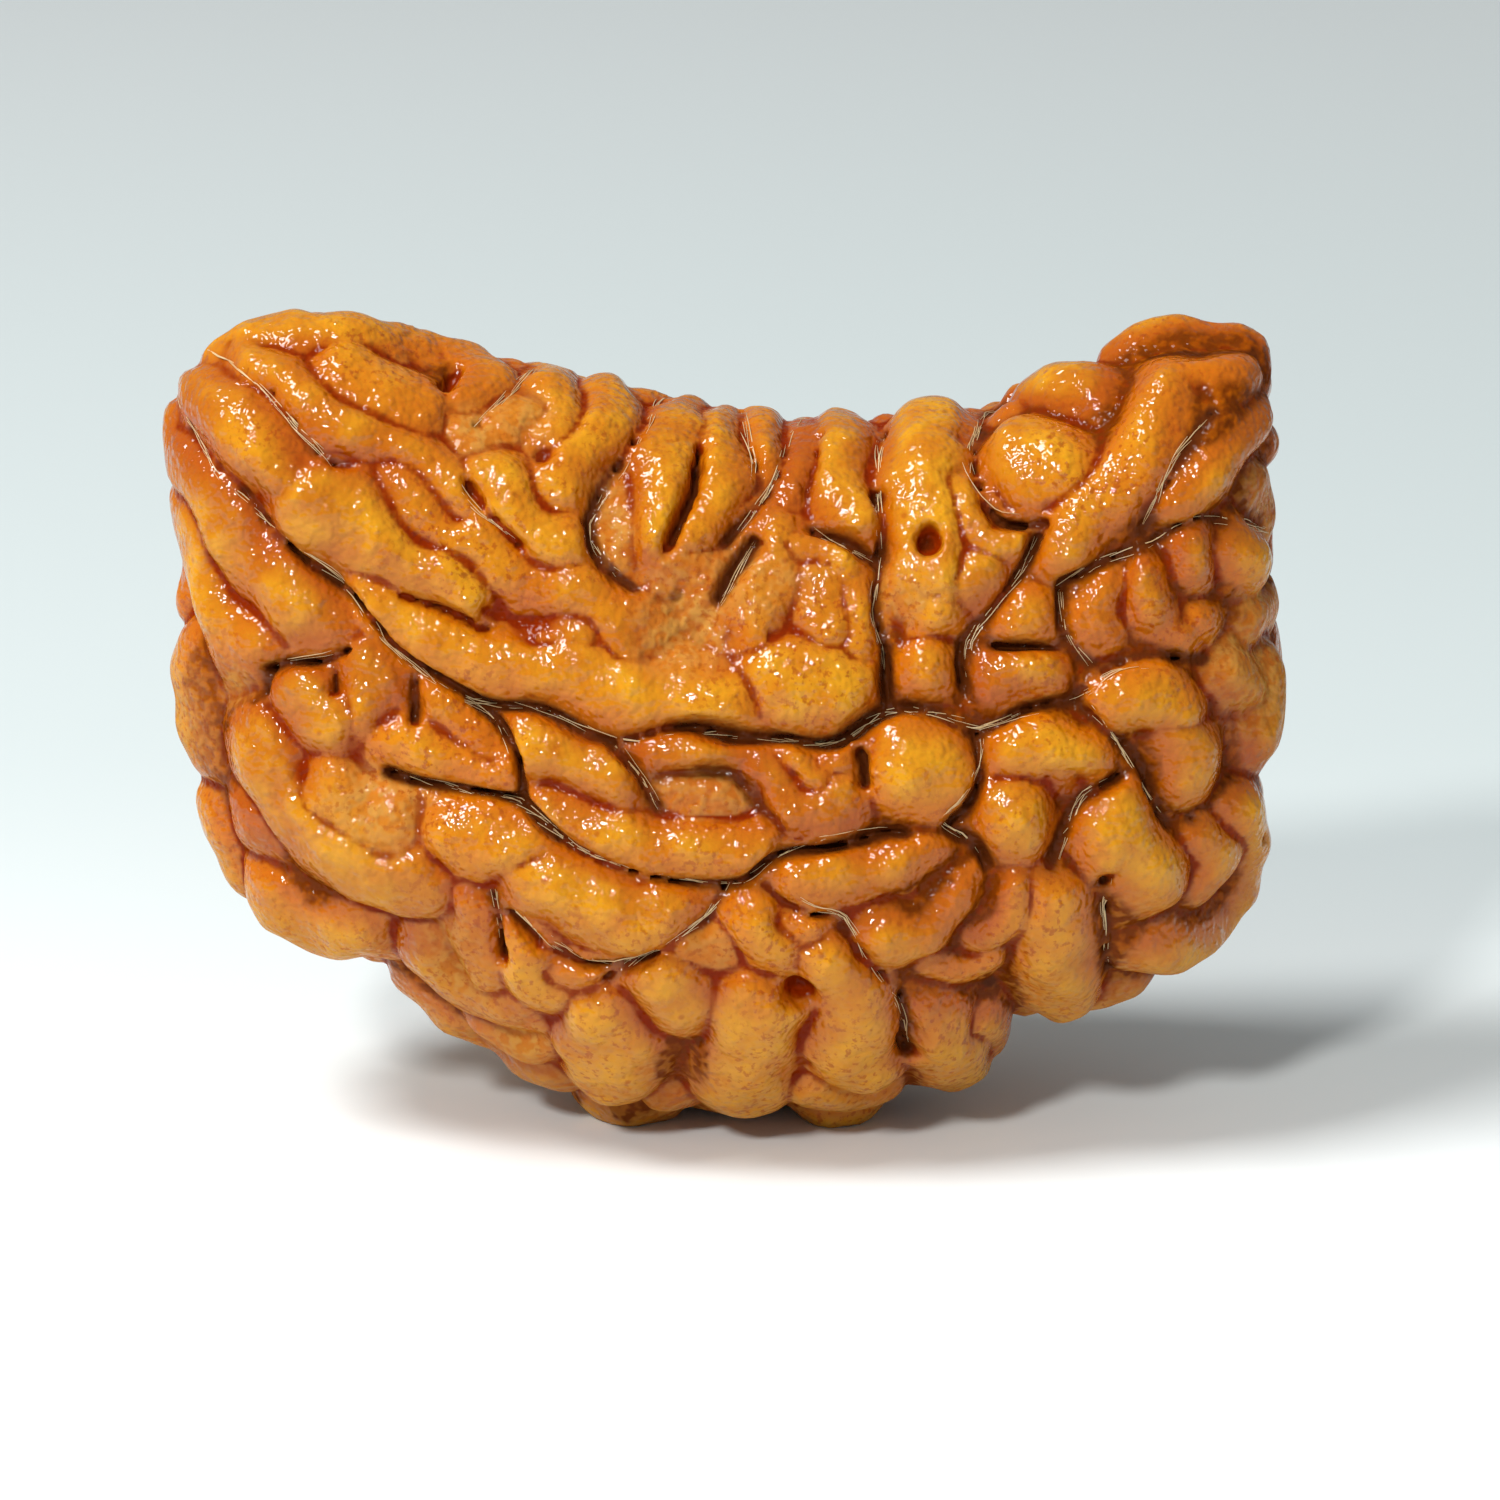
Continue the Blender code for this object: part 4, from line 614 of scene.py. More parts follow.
def back_ridges(face):
    """The face's ridges on the back, kept clear of those that reach over the rim."""
    taken = np.vstack([spots for spots, _, _ in face])
    ridges = []
    for spots, radii, rises in face:
        turned = half_turned(spots)
        gap = np.linalg.norm(turned[:, None] - taken[None], axis=2).min(axis=1)
        keep = (turned[:, 1] > BACK_START_Y) & (gap > 2 * BACK_SPACING * radii)
        for first, last in runs_of(keep):
            ridges.append((turned[first:last], radii[first:last], rises[first:last]))
    return ridges


def back_grooves(face):
    """The face's grooves on the back."""
    grooves = []
    for spots, half_width, depth in face:
        turned = half_turned(spots)
        for first, last in runs_of(turned[:, 1] > BACK_START_Y):
            grooves.append((turned[first:last], half_width, depth))
    return grooves


def foot_knobs():
    """Low knobs round the seed's weight, each under the belly."""
    knobs = []
    for x, y in FEET:
        spot = onto_kernel(np.array(((x, y, 0.0),)))
        knobs.append((spot, np.array((FOOT_RADIUS,)), np.array((FOOT_RISE,))))
    return knobs


def clearance(point, centres, radii):
    """How far a point is from the flank of the nearest ridge or groove."""
    return (np.linalg.norm(centres - point, axis=1) - radii).min()


def filling_ridges(placed, grooves):
    """Short seeded ridges wherever the kernel would show bare, running from horn to horn."""
    draw = np.random.default_rng(SEED)
    centres = np.vstack([spots for spots, _, _ in placed])
    radii = np.concatenate([r for _, r, _ in placed])
    cuts = np.vstack([spots for spots, _, _ in grooves])
    cut_widths = np.concatenate([np.full(len(spots), width) for spots, width, _ in grooves])
    starts = draw.uniform(*FILL_BOX, (FILL_TRIES, 3))
    starts = onto_kernel(starts)
    starts = starts[np.abs(kernel_at(starts)) < 0.1]
    added = []
    for start in starts:
        radius = draw.uniform(*FILL_RADIUS)
        rise = draw.uniform(*FILL_RISE)
        links = draw.integers(*FILL_LINKS)
        lean = draw.uniform(-FILL_LEAN, FILL_LEAN)
        if clearance(start, centres, radii) < FILL_CLEARANCE + radius * FILL_START_OVERLAP:
            continue
        if clearance(start, cuts, cut_widths) < FILL_START_FROM_GROOVE:
            continue
        route = [start]
        for _ in range(links):
            normal = outward(route[-1][None])[0]
            heading = np.array((1.0, 0.0, lean))
            heading -= normal * heading.dot(normal)
            heading /= max(np.linalg.norm(heading), 1e-6)
            step = onto_kernel((route[-1] + heading * FILL_STRIDE)[None])[0]
            if clearance(step, centres, radii) < FILL_CLEARANCE + radius * FILL_STEP_OVERLAP:
                break
            if clearance(step, cuts, cut_widths) < FILL_STEP_FROM_GROOVE:
                break
            route.append(step)
        spots = np.array(route)
        sizes = np.full(len(spots), radius)
        added.append((spots, sizes, np.full(len(spots), rise)))
        centres = np.vstack((centres, spots))
        radii = np.concatenate((radii, sizes))
    return added


def smooth_min(a, b, blend):
    """The lesser of two values, eased where they are within a blend of each other."""
    mix = np.clip(0.5 + 0.5 * (b - a) / blend, 0.0, 1.0)
    return b + (a - b) * mix - blend * mix * (1.0 - mix)


def smooth_max(a, b, blend):
    """The greater of two values, eased where they are within a blend of each other."""
    return -smooth_min(-a, -b, blend)


def waves(points, lengths, draw):
    """A sum of seeded waves in all directions, between about -1 and 1."""
    total = np.zeros(points.shape[:-1])
    for _ in range(WAVES):
        heading = draw.normal(size=3)
        heading *= 2 * math.pi / (np.linalg.norm(heading) * draw.uniform(*lengths))
        total += np.sin(points @ heading + draw.uniform(0.0, 2 * math.pi))
    return total * math.sqrt(2.0 / WAVES) / 1.5


def wandered(points):
    """The points, moved by a slow seeded wander, and the lumps of the skin at each."""
    draw = np.random.default_rng(SEED)
    wander = np.stack([waves(points, WANDER_LENGTHS, draw) for _ in range(3)], axis=-1)
    return points + WANDER * wander, LUMPS * waves(points, LUMP_LENGTHS, draw)


class Block:
    """A regular block of sample points with the kernel's distance at each."""

    def __init__(self, step):
        self.step = step
        self.low = np.array(GRID_LOW)
        counts = np.ceil((np.array(GRID_HIGH) - self.low) / step).astype(int)
        self.axes = [self.low[i] + step * np.arange(counts[i]) for i in range(3)]
        plane_x, plane_z = np.meshgrid(self.axes[0], self.axes[2], indexing="ij")
        half = half_thickness(plane_x, plane_z)[:, None, :]
        depth = inside_depth(plane_x, plane_z)[:, None, :]
        across = self.axes[1][None, :, None]
        self.kernel = np.sqrt(np.maximum(half - depth, 0.0)**2 + across**2) - half
        self.field = self.kernel.copy()
        self.near = (self.kernel > RELIEF_FLOOR) & (self.kernel < RELIEF_TOP)
        self.points = np.stack(np.meshgrid(*self.axes, indexing="ij"), axis=-1)
        self.lumps = np.zeros(self.kernel.shape)
        self.points[self.near], self.lumps[self.near] = wandered(self.points[self.near])
        self.skin = self.kernel.copy()
        self.skin[self.near] = kernel_at(self.points[self.near])

    def window(self, spots, reach):
        """The samples near the skin round a route: where they are kept, and their places."""
        first = np.floor((spots.min(axis=0) - reach - self.low) / self.step).astype(int)
        last = np.ceil((spots.max(axis=0) + reach - self.low) / self.step).astype(int) + 1
        first = np.maximum(first, 0)
        cut = tuple(slice(first[i], max(last[i], first[i] + 1)) for i in range(3))
        near = self.near[cut]
        return cut, near, self.points[cut][near], self.skin[cut][near]


def beside(points, skin, spots, radii):
    """How far points lie to the side of a route on the kernel, and the route's radius there."""
    if len(spots) == 1:
        straight = np.linalg.norm(points - spots[0], axis=-1)
        width = np.full(straight.shape, radii[0])
    else:
        straight = np.full(points.shape[:-1], 1e6)
        width = np.zeros(points.shape[:-1])
        for i in range(len(spots) - 1):
            span = spots[i + 1] - spots[i]
            along = np.clip((points - spots[i]) @ span / max(span @ span, 1e-9), 0.0, 1.0)
            gap = np.linalg.norm(points - spots[i] - along[..., None] * span, axis=-1)
            closer = gap < straight
            straight = np.where(closer, gap, straight)
            width = np.where(closer, radii[i] + along * (radii[i + 1] - radii[i]), width)
    return np.sqrt(np.maximum(straight**2 - skin**2, 0.0)), width


def stepped(axis, step=1):
    """Slices that pair each sample of a block with the one some steps on along an axis."""
    near = [slice(None)] * 3
    far = [slice(None)] * 3
    near[axis] = slice(0, -step)
    far[axis] = slice(step, None)
    return tuple(near), tuple(far)


def softened(values, blur):
    """A block of values, blurred evenly in all directions by the given number of steps."""
    reach = int(math.ceil(2.5 * blur))
    weights = np.exp(-0.5 * (np.arange(-reach, reach + 1) / blur)**2)
    weights /= weights.sum()
    for axis in range(3):
        total = weights[reach] * values
        for step in range(1, reach + 1):
            near, far = stepped(axis, step)
            total[near] += weights[reach + step] * values[far]
            total[far] += weights[reach + step] * values[near]
        values = total
    return values


def raise_ridges(block, ridges):
    """Round ridges that swell towards their neighbours, with a low web between them."""
    nearest = np.full(block.field.shape, 9.0)
    second = nearest.copy()
    reached = []
    for spots, radii, rises in ridges:
        cut, near, points, skin = block.window(spots, radii.max() + RIDGE_REACH)
        sideways, radius = beside(points, skin, spots, radii)
        gap = sideways - radius
        first = nearest[cut][near]
        second[cut][near] = np.minimum(second[cut][near], np.maximum(first, gap))
        nearest[cut][near] = np.minimum(first, gap)
        reached.append((cut, near, gap, radius, rises[0]))
    limit = np.interp(block.axes[0], GROWTH_CHANGE, RIDGE_GROWTH)[:, None, None]
    growth = np.clip((nearest + second) / 2, 0.0, limit)
    height = np.zeros(block.field.shape)
    for cut, near, gap, radius, rise in reached:
        swell = growth[cut][near]
        inward = np.clip((swell - gap) / (radius + swell), 0.0, 1.0)
        crest = (1.0 - APRON_SHARE) * (1.0 - (1.0 - inward)**2)**RIDGE_ROUNDNESS
        apron = APRON_SHARE * np.clip(1.0 + (swell - gap) / APRON_WIDTH, 0.0, 1.0)
        raised = np.where(apron > 0.0, rise * (crest + apron), -1.0)
        height[cut][near] = smooth_max(height[cut][near], raised, RIDGE_JOIN)
    height = softened(np.maximum(height, WEB_RISE), SOFTENING / block.step)
    meeting = MEETING_DEPTH * np.exp(-((second - nearest) / MEETING_WIDTH)**2)
    height = np.where(height > 0.0, np.maximum(height - meeting, 0.0), 0.0)
    block.field = block.kernel - height + block.lumps


def cut_grooves(block, grooves):
    """Grooves that are widest at the crests and close with a round floor."""
    for spots, half_width, depth in grooves:
        cut, near, points, skin = block.window(spots, half_width + RIDGE_REACH)
        sideways, _ = beside(points, skin, spots, np.zeros(len(spots)))
        above_floor = (skin - RIDGE_RISE + depth) / depth
        opening = half_width * np.sign(above_floor) * np.sqrt(np.abs(above_floor))
        carved = smooth_max(block.field[cut][near], opening - sideways, GROOVE_BLEND)
        block.field[cut][near] = carved


def stand_flat(block):
    """Cuts the lowest ridges off level, so that the seed stands."""
    block.field = np.maximum(block.field, FOOT_LEVEL - block.axes[2][None, None, :])


def face_corners(full, axis):
    """The four corners of every cell face across one axis."""
    first, second = [a for a in range(3) if a != axis]
    corners = []
    for a, b in ((0, 0), (1, 0), (1, 1), (0, 1)):
        cut = [slice(None)] * 3
        cut[first] = slice(a, full.shape[first] - 1 + a)
        cut[second] = slice(b, full.shape[second] - 1 + b)
        corners.append(tuple(cut))
    return corners


def cell_corners(full):
    """The eight corners of every cell."""
    corners = []
    for i in (0, 1):
        for j in (0, 1):
            for k in (0, 1):
                corners.append(tuple(slice(a, n - 1 + a) for a, n in zip((i, j, k), full.shape)))
    return corners


def close_pinches(field, step):
    """Fills the corners where two folds of the skin would meet in one line or point."""
    filled = -0.1 * step
    for _ in range(PINCH_ROUNDS):
        changed = 0
        inside = field < 0.0
        for axis in range(3):
            a, b, c, d = face_corners(field, axis)
            crossed = (inside[a] == inside[c]) & (inside[b] == inside[d]) & (inside[a] != inside[b])
            for corner in (a, b, c, d):
                fill = crossed & ~inside[corner]
                changed += int(fill.sum())
                field[corner] = np.where(fill, filled, field[corner])
        inside = field < 0.0
        corners = cell_corners(field)
        total = sum(inside[c].astype(int) for c in corners)
        for i in range(4):
            pair = inside[corners[i]] & inside[corners[7 - i]] & (total == 2)
            hollow = ~inside[corners[i]] & ~inside[corners[7 - i]] & (total == 6)
            changed += int(pair.sum()) + int(hollow.sum())
            for c in (corners[i - 1], corners[6 - i]):
                field[c] = np.where(pair & (field[c] >= 0.0), filled, field[c])
            field[corners[i]] = np.where(hollow, filled, field[corners[i]])
        if changed == 0:
            return


def skin_of(field, axes, step):
    """One vertex in each cell that the surface crosses, and the quads between them."""
    inside = field < 0.0
    cells = tuple(n - 1 for n in field.shape)
    total = np.zeros(cells + (3,))
    count = np.zeros(cells)
    origin = np.array([a[0] for a in axes])
    for axis in range(3):
        first, second = [a for a in range(3) if a != axis]
        near, far = stepped(axis)
        crossing = inside[near] != inside[far]
        at = np.argwhere(crossing)
        low = field[near][crossing]
        high = field[far][crossing]
        place = at.astype(float)
        place[:, axis] += low / (low - high)
        for a in (0, 1):
            for b in (0, 1):
                cell = at.copy()
                cell[:, first] -= a
                cell[:, second] -= b
                ok = ((cell >= 0) & (cell < np.array(cells))).all(axis=1)
                index = tuple(cell[ok].T)
                np.add.at(total, index, place[ok])
                np.add.at(count, index, 1.0)
    used = count > 0
    number = np.full(cells, -1)
    number[used] = np.arange(int(used.sum()))
    vertices = origin + step * (total[used] / count[used][:, None])
    return vertices, quads_between(inside, number)


def quads_between(inside, number):
    """A quad round every edge of the block that the surface crosses."""
    quads = []
    for axis in range(3):
        first, second = (axis + 1) % 3, (axis + 2) % 3
        near, far = stepped(axis)
        low, high = inside[near], inside[far]
        for leaving in (True, False):
            at = np.argwhere((low != high) & (low == leaving))
            ring = []
            for a, b in ((1, 1), (0, 1), (0, 0), (1, 0)):
                cell = at.copy()
                cell[:, first] -= a
                cell[:, second] -= b
                ring.append(number[tuple(cell.T)])
            quad = np.stack(ring, axis=1)
            quads.append(quad if leaving else quad[:, ::-1])
    return np.vstack(quads)


def all_relief():
    """Every ridge and groove of the seed, face and back, as routes on the kernel."""
    face = [placed_ridge(item) for item in FACE_RIDGES]
    cuts = [placed_groove(item) for item in FACE_GROOVES]
    ridges = face + foot_knobs() + back_ridges(face)
    grooves = cuts + back_grooves(cuts)
    return ridges + filling_ridges(ridges, grooves), grooves


def body_only(mesh):
    """Keeps the seed itself and drops loose crumbs and sealed bubbles."""
    bm = bmesh.new()
    bm.from_mesh(mesh)
    bm.verts.ensure_lookup_table()
    unseen = set(range(len(bm.verts)))
    bodies = []
    while unseen:
        first = unseen.pop()
        body = [first]
        waiting = [bm.verts[first]]
        while waiting:
            for edge in waiting.pop().link_edges:
                for vertex in edge.verts:
                    if vertex.index in unseen:
                        unseen.discard(vertex.index)
                        body.append(vertex.index)
                        waiting.append(vertex)
        bodies.append(body)
    bodies.sort(key=len)
    crumbs = [bm.verts[i] for body in bodies[:-1] for i in body]
    bmesh.ops.delete(bm, geom=crumbs, context="VERTS")
    bm.to_mesh(mesh)
    bm.free()


def rows_of(elements, name, width, kind=float):
    """One property of each vertex or edge of a mesh, as rows of numbers."""
    values = np.empty(len(elements) * width, dtype=kind)
    elements.foreach_get(name, values)
    return values.reshape(-1, width)


def spread(values, edges, rounds):
    """Values averaged with those of the neighbouring vertices, several times over."""
    values = np.array(values, dtype=float)
    flat = values.ndim == 1
    if flat:
        values = values[:, None]
    links = np.bincount(edges.ravel(), minlength=len(values))[:, None]
    for _ in range(rounds):
        total = np.empty_like(values)
        for column in range(values.shape[1]):
            total[:, column] = (
                np.bincount(edges[:, 0], values[edges[:, 1], column], len(values))
                + np.bincount(edges[:, 1], values[edges[:, 0], column], len(values)))
        values = 0.5 * values + 0.5 * total / np.maximum(links, 1)
    return values[:, 0] if flat else values


def round_route(points, spots):
    """Which of the points are within a ridge's reach of a route."""
    low, high = spots.min(axis=0) - RIDGE_REACH, spots.max(axis=0) + RIDGE_REACH
    return np.where(((points > low) & (points < high)).all(axis=1))[0]


def nearest_ridge(points, skin, ridges):
    """The index of the ridge that each point lies on, and how far it is from its flank."""
    owner = np.zeros(len(points), dtype=int)
    nearest = np.full(len(points), 9.0)
    for i, (spots, radii, _) in enumerate(ridges):
        here = round_route(points, spots)
        if len(here) == 0:
            continue
        sideways, radius = beside(points[here], skin[here], spots, radii)
        gap = sideways - radius
        closer = gap < nearest[here]
        owner[here[closer]] = i
        nearest[here[closer]] = gap[closer]
    return owner, nearest


def nearness_to_grooves(points, skin, grooves, span):
    """How near each point is to the middle of a fissure: 1 in it, 0 from the given span on."""
    near = np.zeros(len(points))
    for spots, half_width, _ in grooves:
        if half_width > PIT_WIDTH:
            continue
        here = round_route(points, spots)
        if len(here) == 0:
            continue
        sideways, _ = beside(points[here], skin[here], spots, np.zeros(len(spots)))
        close = np.clip(1.0 - sideways / span, 0.0, 1.0)
        near[here] = np.maximum(near[here], close)
    return near


def store(mesh, name, values):
    """Keeps one value for each vertex, for the material to read."""
    layer = mesh.attributes.new(name, "FLOAT", "POINT")
    layer.data.foreach_set("value", np.asarray(values, dtype=np.float32))


# Where fibrous pulp skin still clings to the face, as (u, v, radius)
FIBROUS_PATCHES = (
    (-9.2, 8.3, 1.4), (-14.2, 10.9, 1.9), (-13.0, 11.9, 0.8), (13.8, 11.4, 1.5), (13.1, 12.4, 0.9),
    (-9.2, 19.6, 0.8), (-7.0, 18.0, 1.0), (-5.5, 18.2, 1.0), (0.8, 14.2, 1.2), (-3.0, 15.8, 0.7),
    (-1.2, 13.0, 1.4), (-0.9, 14.6, 0.8), (-0.5, 9.1, 0.8), (5.0, 14.2, 1.1), (-7.2, 5.2, 1.0),
    (-6.8, 4.2, 1.2), (-5.4, 2.6, 1.2), (-3.3, 1.6, 1.1), (0.4, 1.4, 1.3), (3.0, 1.4, 1.1),
    (-10.8, 5.4, 1.6), (-12.7, 7.0, 1.0), (6.0, 1.8, 1.0), (-4.6, 14.4, 0.7), (3.0, 9.2, 0.6),
    (-0.8, 4.8, 0.8), (13.6, 14.2, 0.8), (7.8, 15.4, 0.6),
)


def near_patches(points):
    """How far each point lies within the face's patches of fibrous skin, from 0 to 1."""
    spots = seen_on_kernel([(u, v) for u, v, _ in FIBROUS_PATCHES])
    near = np.zeros(len(points))
    for spot, (_, _, radius) in zip(spots, FIBROUS_PATCHES):
        away = np.linalg.norm(points - spot, axis=1) / radius
        # full out to half the patch's radius, and gone a third beyond it
        near = np.maximum(near, np.clip(1.6 - 1.2 * away, 0.0, 1.0))
    return near


def mark_stone(mesh, ridges, grooves):
    """Keeps on each vertex what the material reads: height, hollows, tone, fuzz, web, fissures."""
    raw = rows_of(mesh.vertices, "co", 3)
    points, _ = wandered(raw)
    skin = kernel_at(points)
    normals = rows_of(mesh.vertices, "normal", 3)
    edges = rows_of(mesh.edges, "vertices", 2, int)
    owner, gap = nearest_ridge(points, skin, ridges)
    beyond = gap - np.interp(raw[:, 0], GROWTH_CHANGE, RIDGE_GROWTH)
    draw = np.random.default_rng(SEED + 1)
    tones = draw.uniform(-1.0, 1.0, len(ridges))
    low = np.array([1.0 if rises[0] < LOW_RISE else 0.0 for _, _, rises in ridges])
    # Surfaces that face down take the paler fibrous colour and the matte finish by their facing alone
    under = np.clip((-normals[:, 2] - 0.25) / 0.5, 0.0, 1.0)
    patches = near_patches(points)
    fuzz = np.maximum(0.6 * spread(low[owner], edges, 8), 0.7 * spread(under, edges, 6))
    fuzz = np.maximum(fuzz, patches)
    small = ((spread(raw, edges, 4) - raw) * normals).sum(axis=1)
    broad = ((spread(raw, edges, 40) - raw) * normals).sum(axis=1)
    # height guides the painted highlight on the crests; crease and hollow guide the painted shade in
    # the folds
    store(mesh, "height", np.clip(kernel_at(raw) / RIDGE_RISE, -1.0, 1.3))
    store(mesh, "crease", np.clip(small / FULL_CREASE, -1.0, 1.0))
    store(mesh, "hollow", np.clip(broad / FULL_HOLLOW, -1.0, 1.0))
    store(mesh, "tone", spread(tones[owner], edges, 10))
    store(mesh, "fuzz", np.clip(fuzz, 0.0, 1.0))
    web = np.clip(spread(beyond, edges, 3) / WEB_EDGE + 0.4, 0.0, 1.0)
    store(mesh, "web", web * (1.0 - patches))
    # Nearness to a fissure's middle, which lays the fissure colour, partly painted shade, into its
    # floor
    store(mesh, "fissure", nearness_to_grooves(points, skin, grooves, FISSURE_STAIN))


def linear(value):
    """An sRGB hex colour, such as "#c9761a", as linear red, green, blue and alpha."""
    parts = [int(value[i:i + 2], 16) / 255 for i in (1, 3, 5)]
    return tuple(p / 12.92 if p <= 0.04045 else ((p + 0.055) / 1.055)**2.4 for p in parts) + (1.0,)


def add_node(tree, kind, settings, inputs):
    """Adds a node, sets its properties, and sets or links its inputs by name or number."""
    node = tree.nodes.new(kind)
    for name, value in settings.items():
        setattr(node, name, value)
    for key, value in inputs.items():
        if isinstance(value, bpy.types.NodeSocket):
            tree.links.new(value, node.inputs[key])
        else:
            node.inputs[key].default_value = value
    return node


def new_material(name):
    """An empty material and its tree."""
    material = bpy.data.materials.new(name)
    material.use_nodes = True
    tree = material.node_tree
    tree.nodes.clear()
    return material, tree


def millimetre_places(tree):
    """The surface's own coordinates, one unit to the millimetre."""
    place = add_node(tree, "ShaderNodeTexCoord", {}, {})
    return add_node(tree, "ShaderNodeMapping", {}, {
        "Vector": place.outputs["Object"], "Scale": (1 / MM, 1 / MM, 1 / MM)}).outputs[0]


# The values that the mesh keeps on its vertices for the stone's material
KEPT = ("height", "crease", "hollow", "tone", "fuzz", "web", "fissure")

# Noise in the stone's skin: the size of its patches in millimetres, its detail and its roughness
NOISES = {
    "drift": (DRIFT_SIZE, 3.0, 0.5),
    "mottle": (MOTTLE_SIZE, 2.0, 0.5),
    "speck": (SPECK_SIZE, 2.0, 0.6),
    "felt": (FELT_SIZE, 1.0, 0.5),
}

# Eased ramps: the value that each reads, the range taken from it, and the range given for it
RAMPS = {
    "oil taken up": ("tone", -1.0, 1.0, 0.0, 0.55),
    "uneven oil": ("drift", 0.35, 0.65, 0.0, 0.45),
    # Painted highlight: the higher a ridge top stands, the more of the lighter crest colour it takes,
    # in patches
    "crest": ("height", 0.6, 1.1, 0.0, 1.0),
    "patchy_crest_highlight": ("mottle", 0.3, 0.7, 0.35, 1.0),
    "felted": ("felt", 0.38, 0.6, 0.35, 1.0),
    "fleck": ("cells", 0.17, 0.05, 0.0, 1.0),
    "flecked ground": ("mottle", 0.42, 0.6, 0.0, 0.5),
    "freckle": ("speck", 0.53, 0.67, 0.0, 0.6),
    "freckled ground": ("drift", 0.4, 0.62, 0.1, 1.0),
    # Painted shade: creases and broad hollows take the darker crease colour, where shade falls in
    # them
    "painted_crease_shade": ("crease", 0.1, 0.8, 0.0, 0.75),
    "painted_hollow_shade": ("hollow", -0.1, 0.8, 0.0, 0.45),
    "bare of skin": ("fuzz", 0.3, 1.0, 1.0, 0.3),
    "felted web": ("felt", 0.4, 0.65, 0.95, 0.45),
    # Partly painted shade: the lower a point lies near a fissure's middle, the more fissure colour it
    # takes; partly dried oil
    "sunk": ("height", 0.7, 0.2, 0.0, 1.0),
    "inside fissure": ("fissure", 0.1, 0.7, 0.0, 1.0),
    "dull patches": ("mottle", 0.5, 0.8, 0.0, 0.25),
}

# Values joined two by two and held between 0 and 1, in order
JOINED = (
    ("shade", "ADD", "oil taken up", "uneven oil"),
    ("lit", "MULTIPLY", "crest", "patchy_crest_highlight"),
    ("fibrous", "MULTIPLY", "fuzz", "felted"),
    ("flecks", "MULTIPLY", "fleck", "flecked ground"),
    ("freckles", "MULTIPLY", "freckle", "freckled ground"),
    # The painted shade of creases and hollows together, kept mostly off the fibrous skin
    ("painted_fold_shade", "ADD", "painted_crease_shade", "painted_hollow_shade"),
    ("groove", "MULTIPLY", "painted_fold_shade", "bare of skin"),
    ("stained", "MULTIPLY", "web", "felted web"),
    ("deep", "MULTIPLY", "sunk", "inside fissure"),
    ("dull skin", "MULTIPLY", "fuzz", 0.85),
    ("dull", "MAXIMUM", "dull skin", "dull patches"),
    ("web_and_folds", "MAXIMUM", "web", "groove"),
    ("dry", "MAXIMUM", "fuzz", "web_and_folds"),
    ("gloss lost", "MULTIPLY", "dry", GLOSS_LOST),
    ("gloss", "SUBTRACT", OIL_GLOSS, "gloss lost"),
)

# Colours laid one over another, each with the value that says where
# crest over lit is painted highlight; crease over groove is painted shade; fissure over deep is
# partly painted shade
LAYERS = (
    ("body", "shade"), ("crest", "lit"), ("hollow", "fibrous"), ("fleck", "flecks"),
    ("fleck", "freckles"), ("crease", "groove"), ("web", "stained"), ("fissure", "deep"),
)


def stone_values(tree, places, sizes):
    """The sockets of all the values that the stone's colour and gloss are made from, by name."""
    values = {}
    for name in KEPT:
        values[name] = add_node(
            tree, "ShaderNodeAttribute", {"attribute_name": name}, {}).outputs["Fac"]
    for name, (size, detail, roughness) in NOISES.items():
        values[name] = add_node(tree, "ShaderNodeTexNoise", {}, {
            "Vector": places, "Scale": 0.5 / size, "Detail": detail,
            "Roughness": roughness}).outputs["Fac"]
    values["cells"] = add_node(tree, "ShaderNodeTexVoronoi", {}, {
        "Vector": places, "Scale": 1 / sizes.fleck_spacing, "Randomness": 1.0}).outputs["Distance"]
    for name, (read, low, high, out_low, out_high) in RAMPS.items():
        values[name] = add_node(tree, "ShaderNodeMapRange", {"interpolation_type": "SMOOTHSTEP"}, {
            "Value": values[read], "From Min": low, "From Max": high,
            "To Min": out_low, "To Max": out_high}).outputs[0]
    for name, operation, first, second in JOINED:
        values[name] = add_node(tree, "ShaderNodeMath", {"operation": operation, "use_clamp": True}, {
            0: values.get(first, first), 1: values.get(second, second)}).outputs[0]
    return values


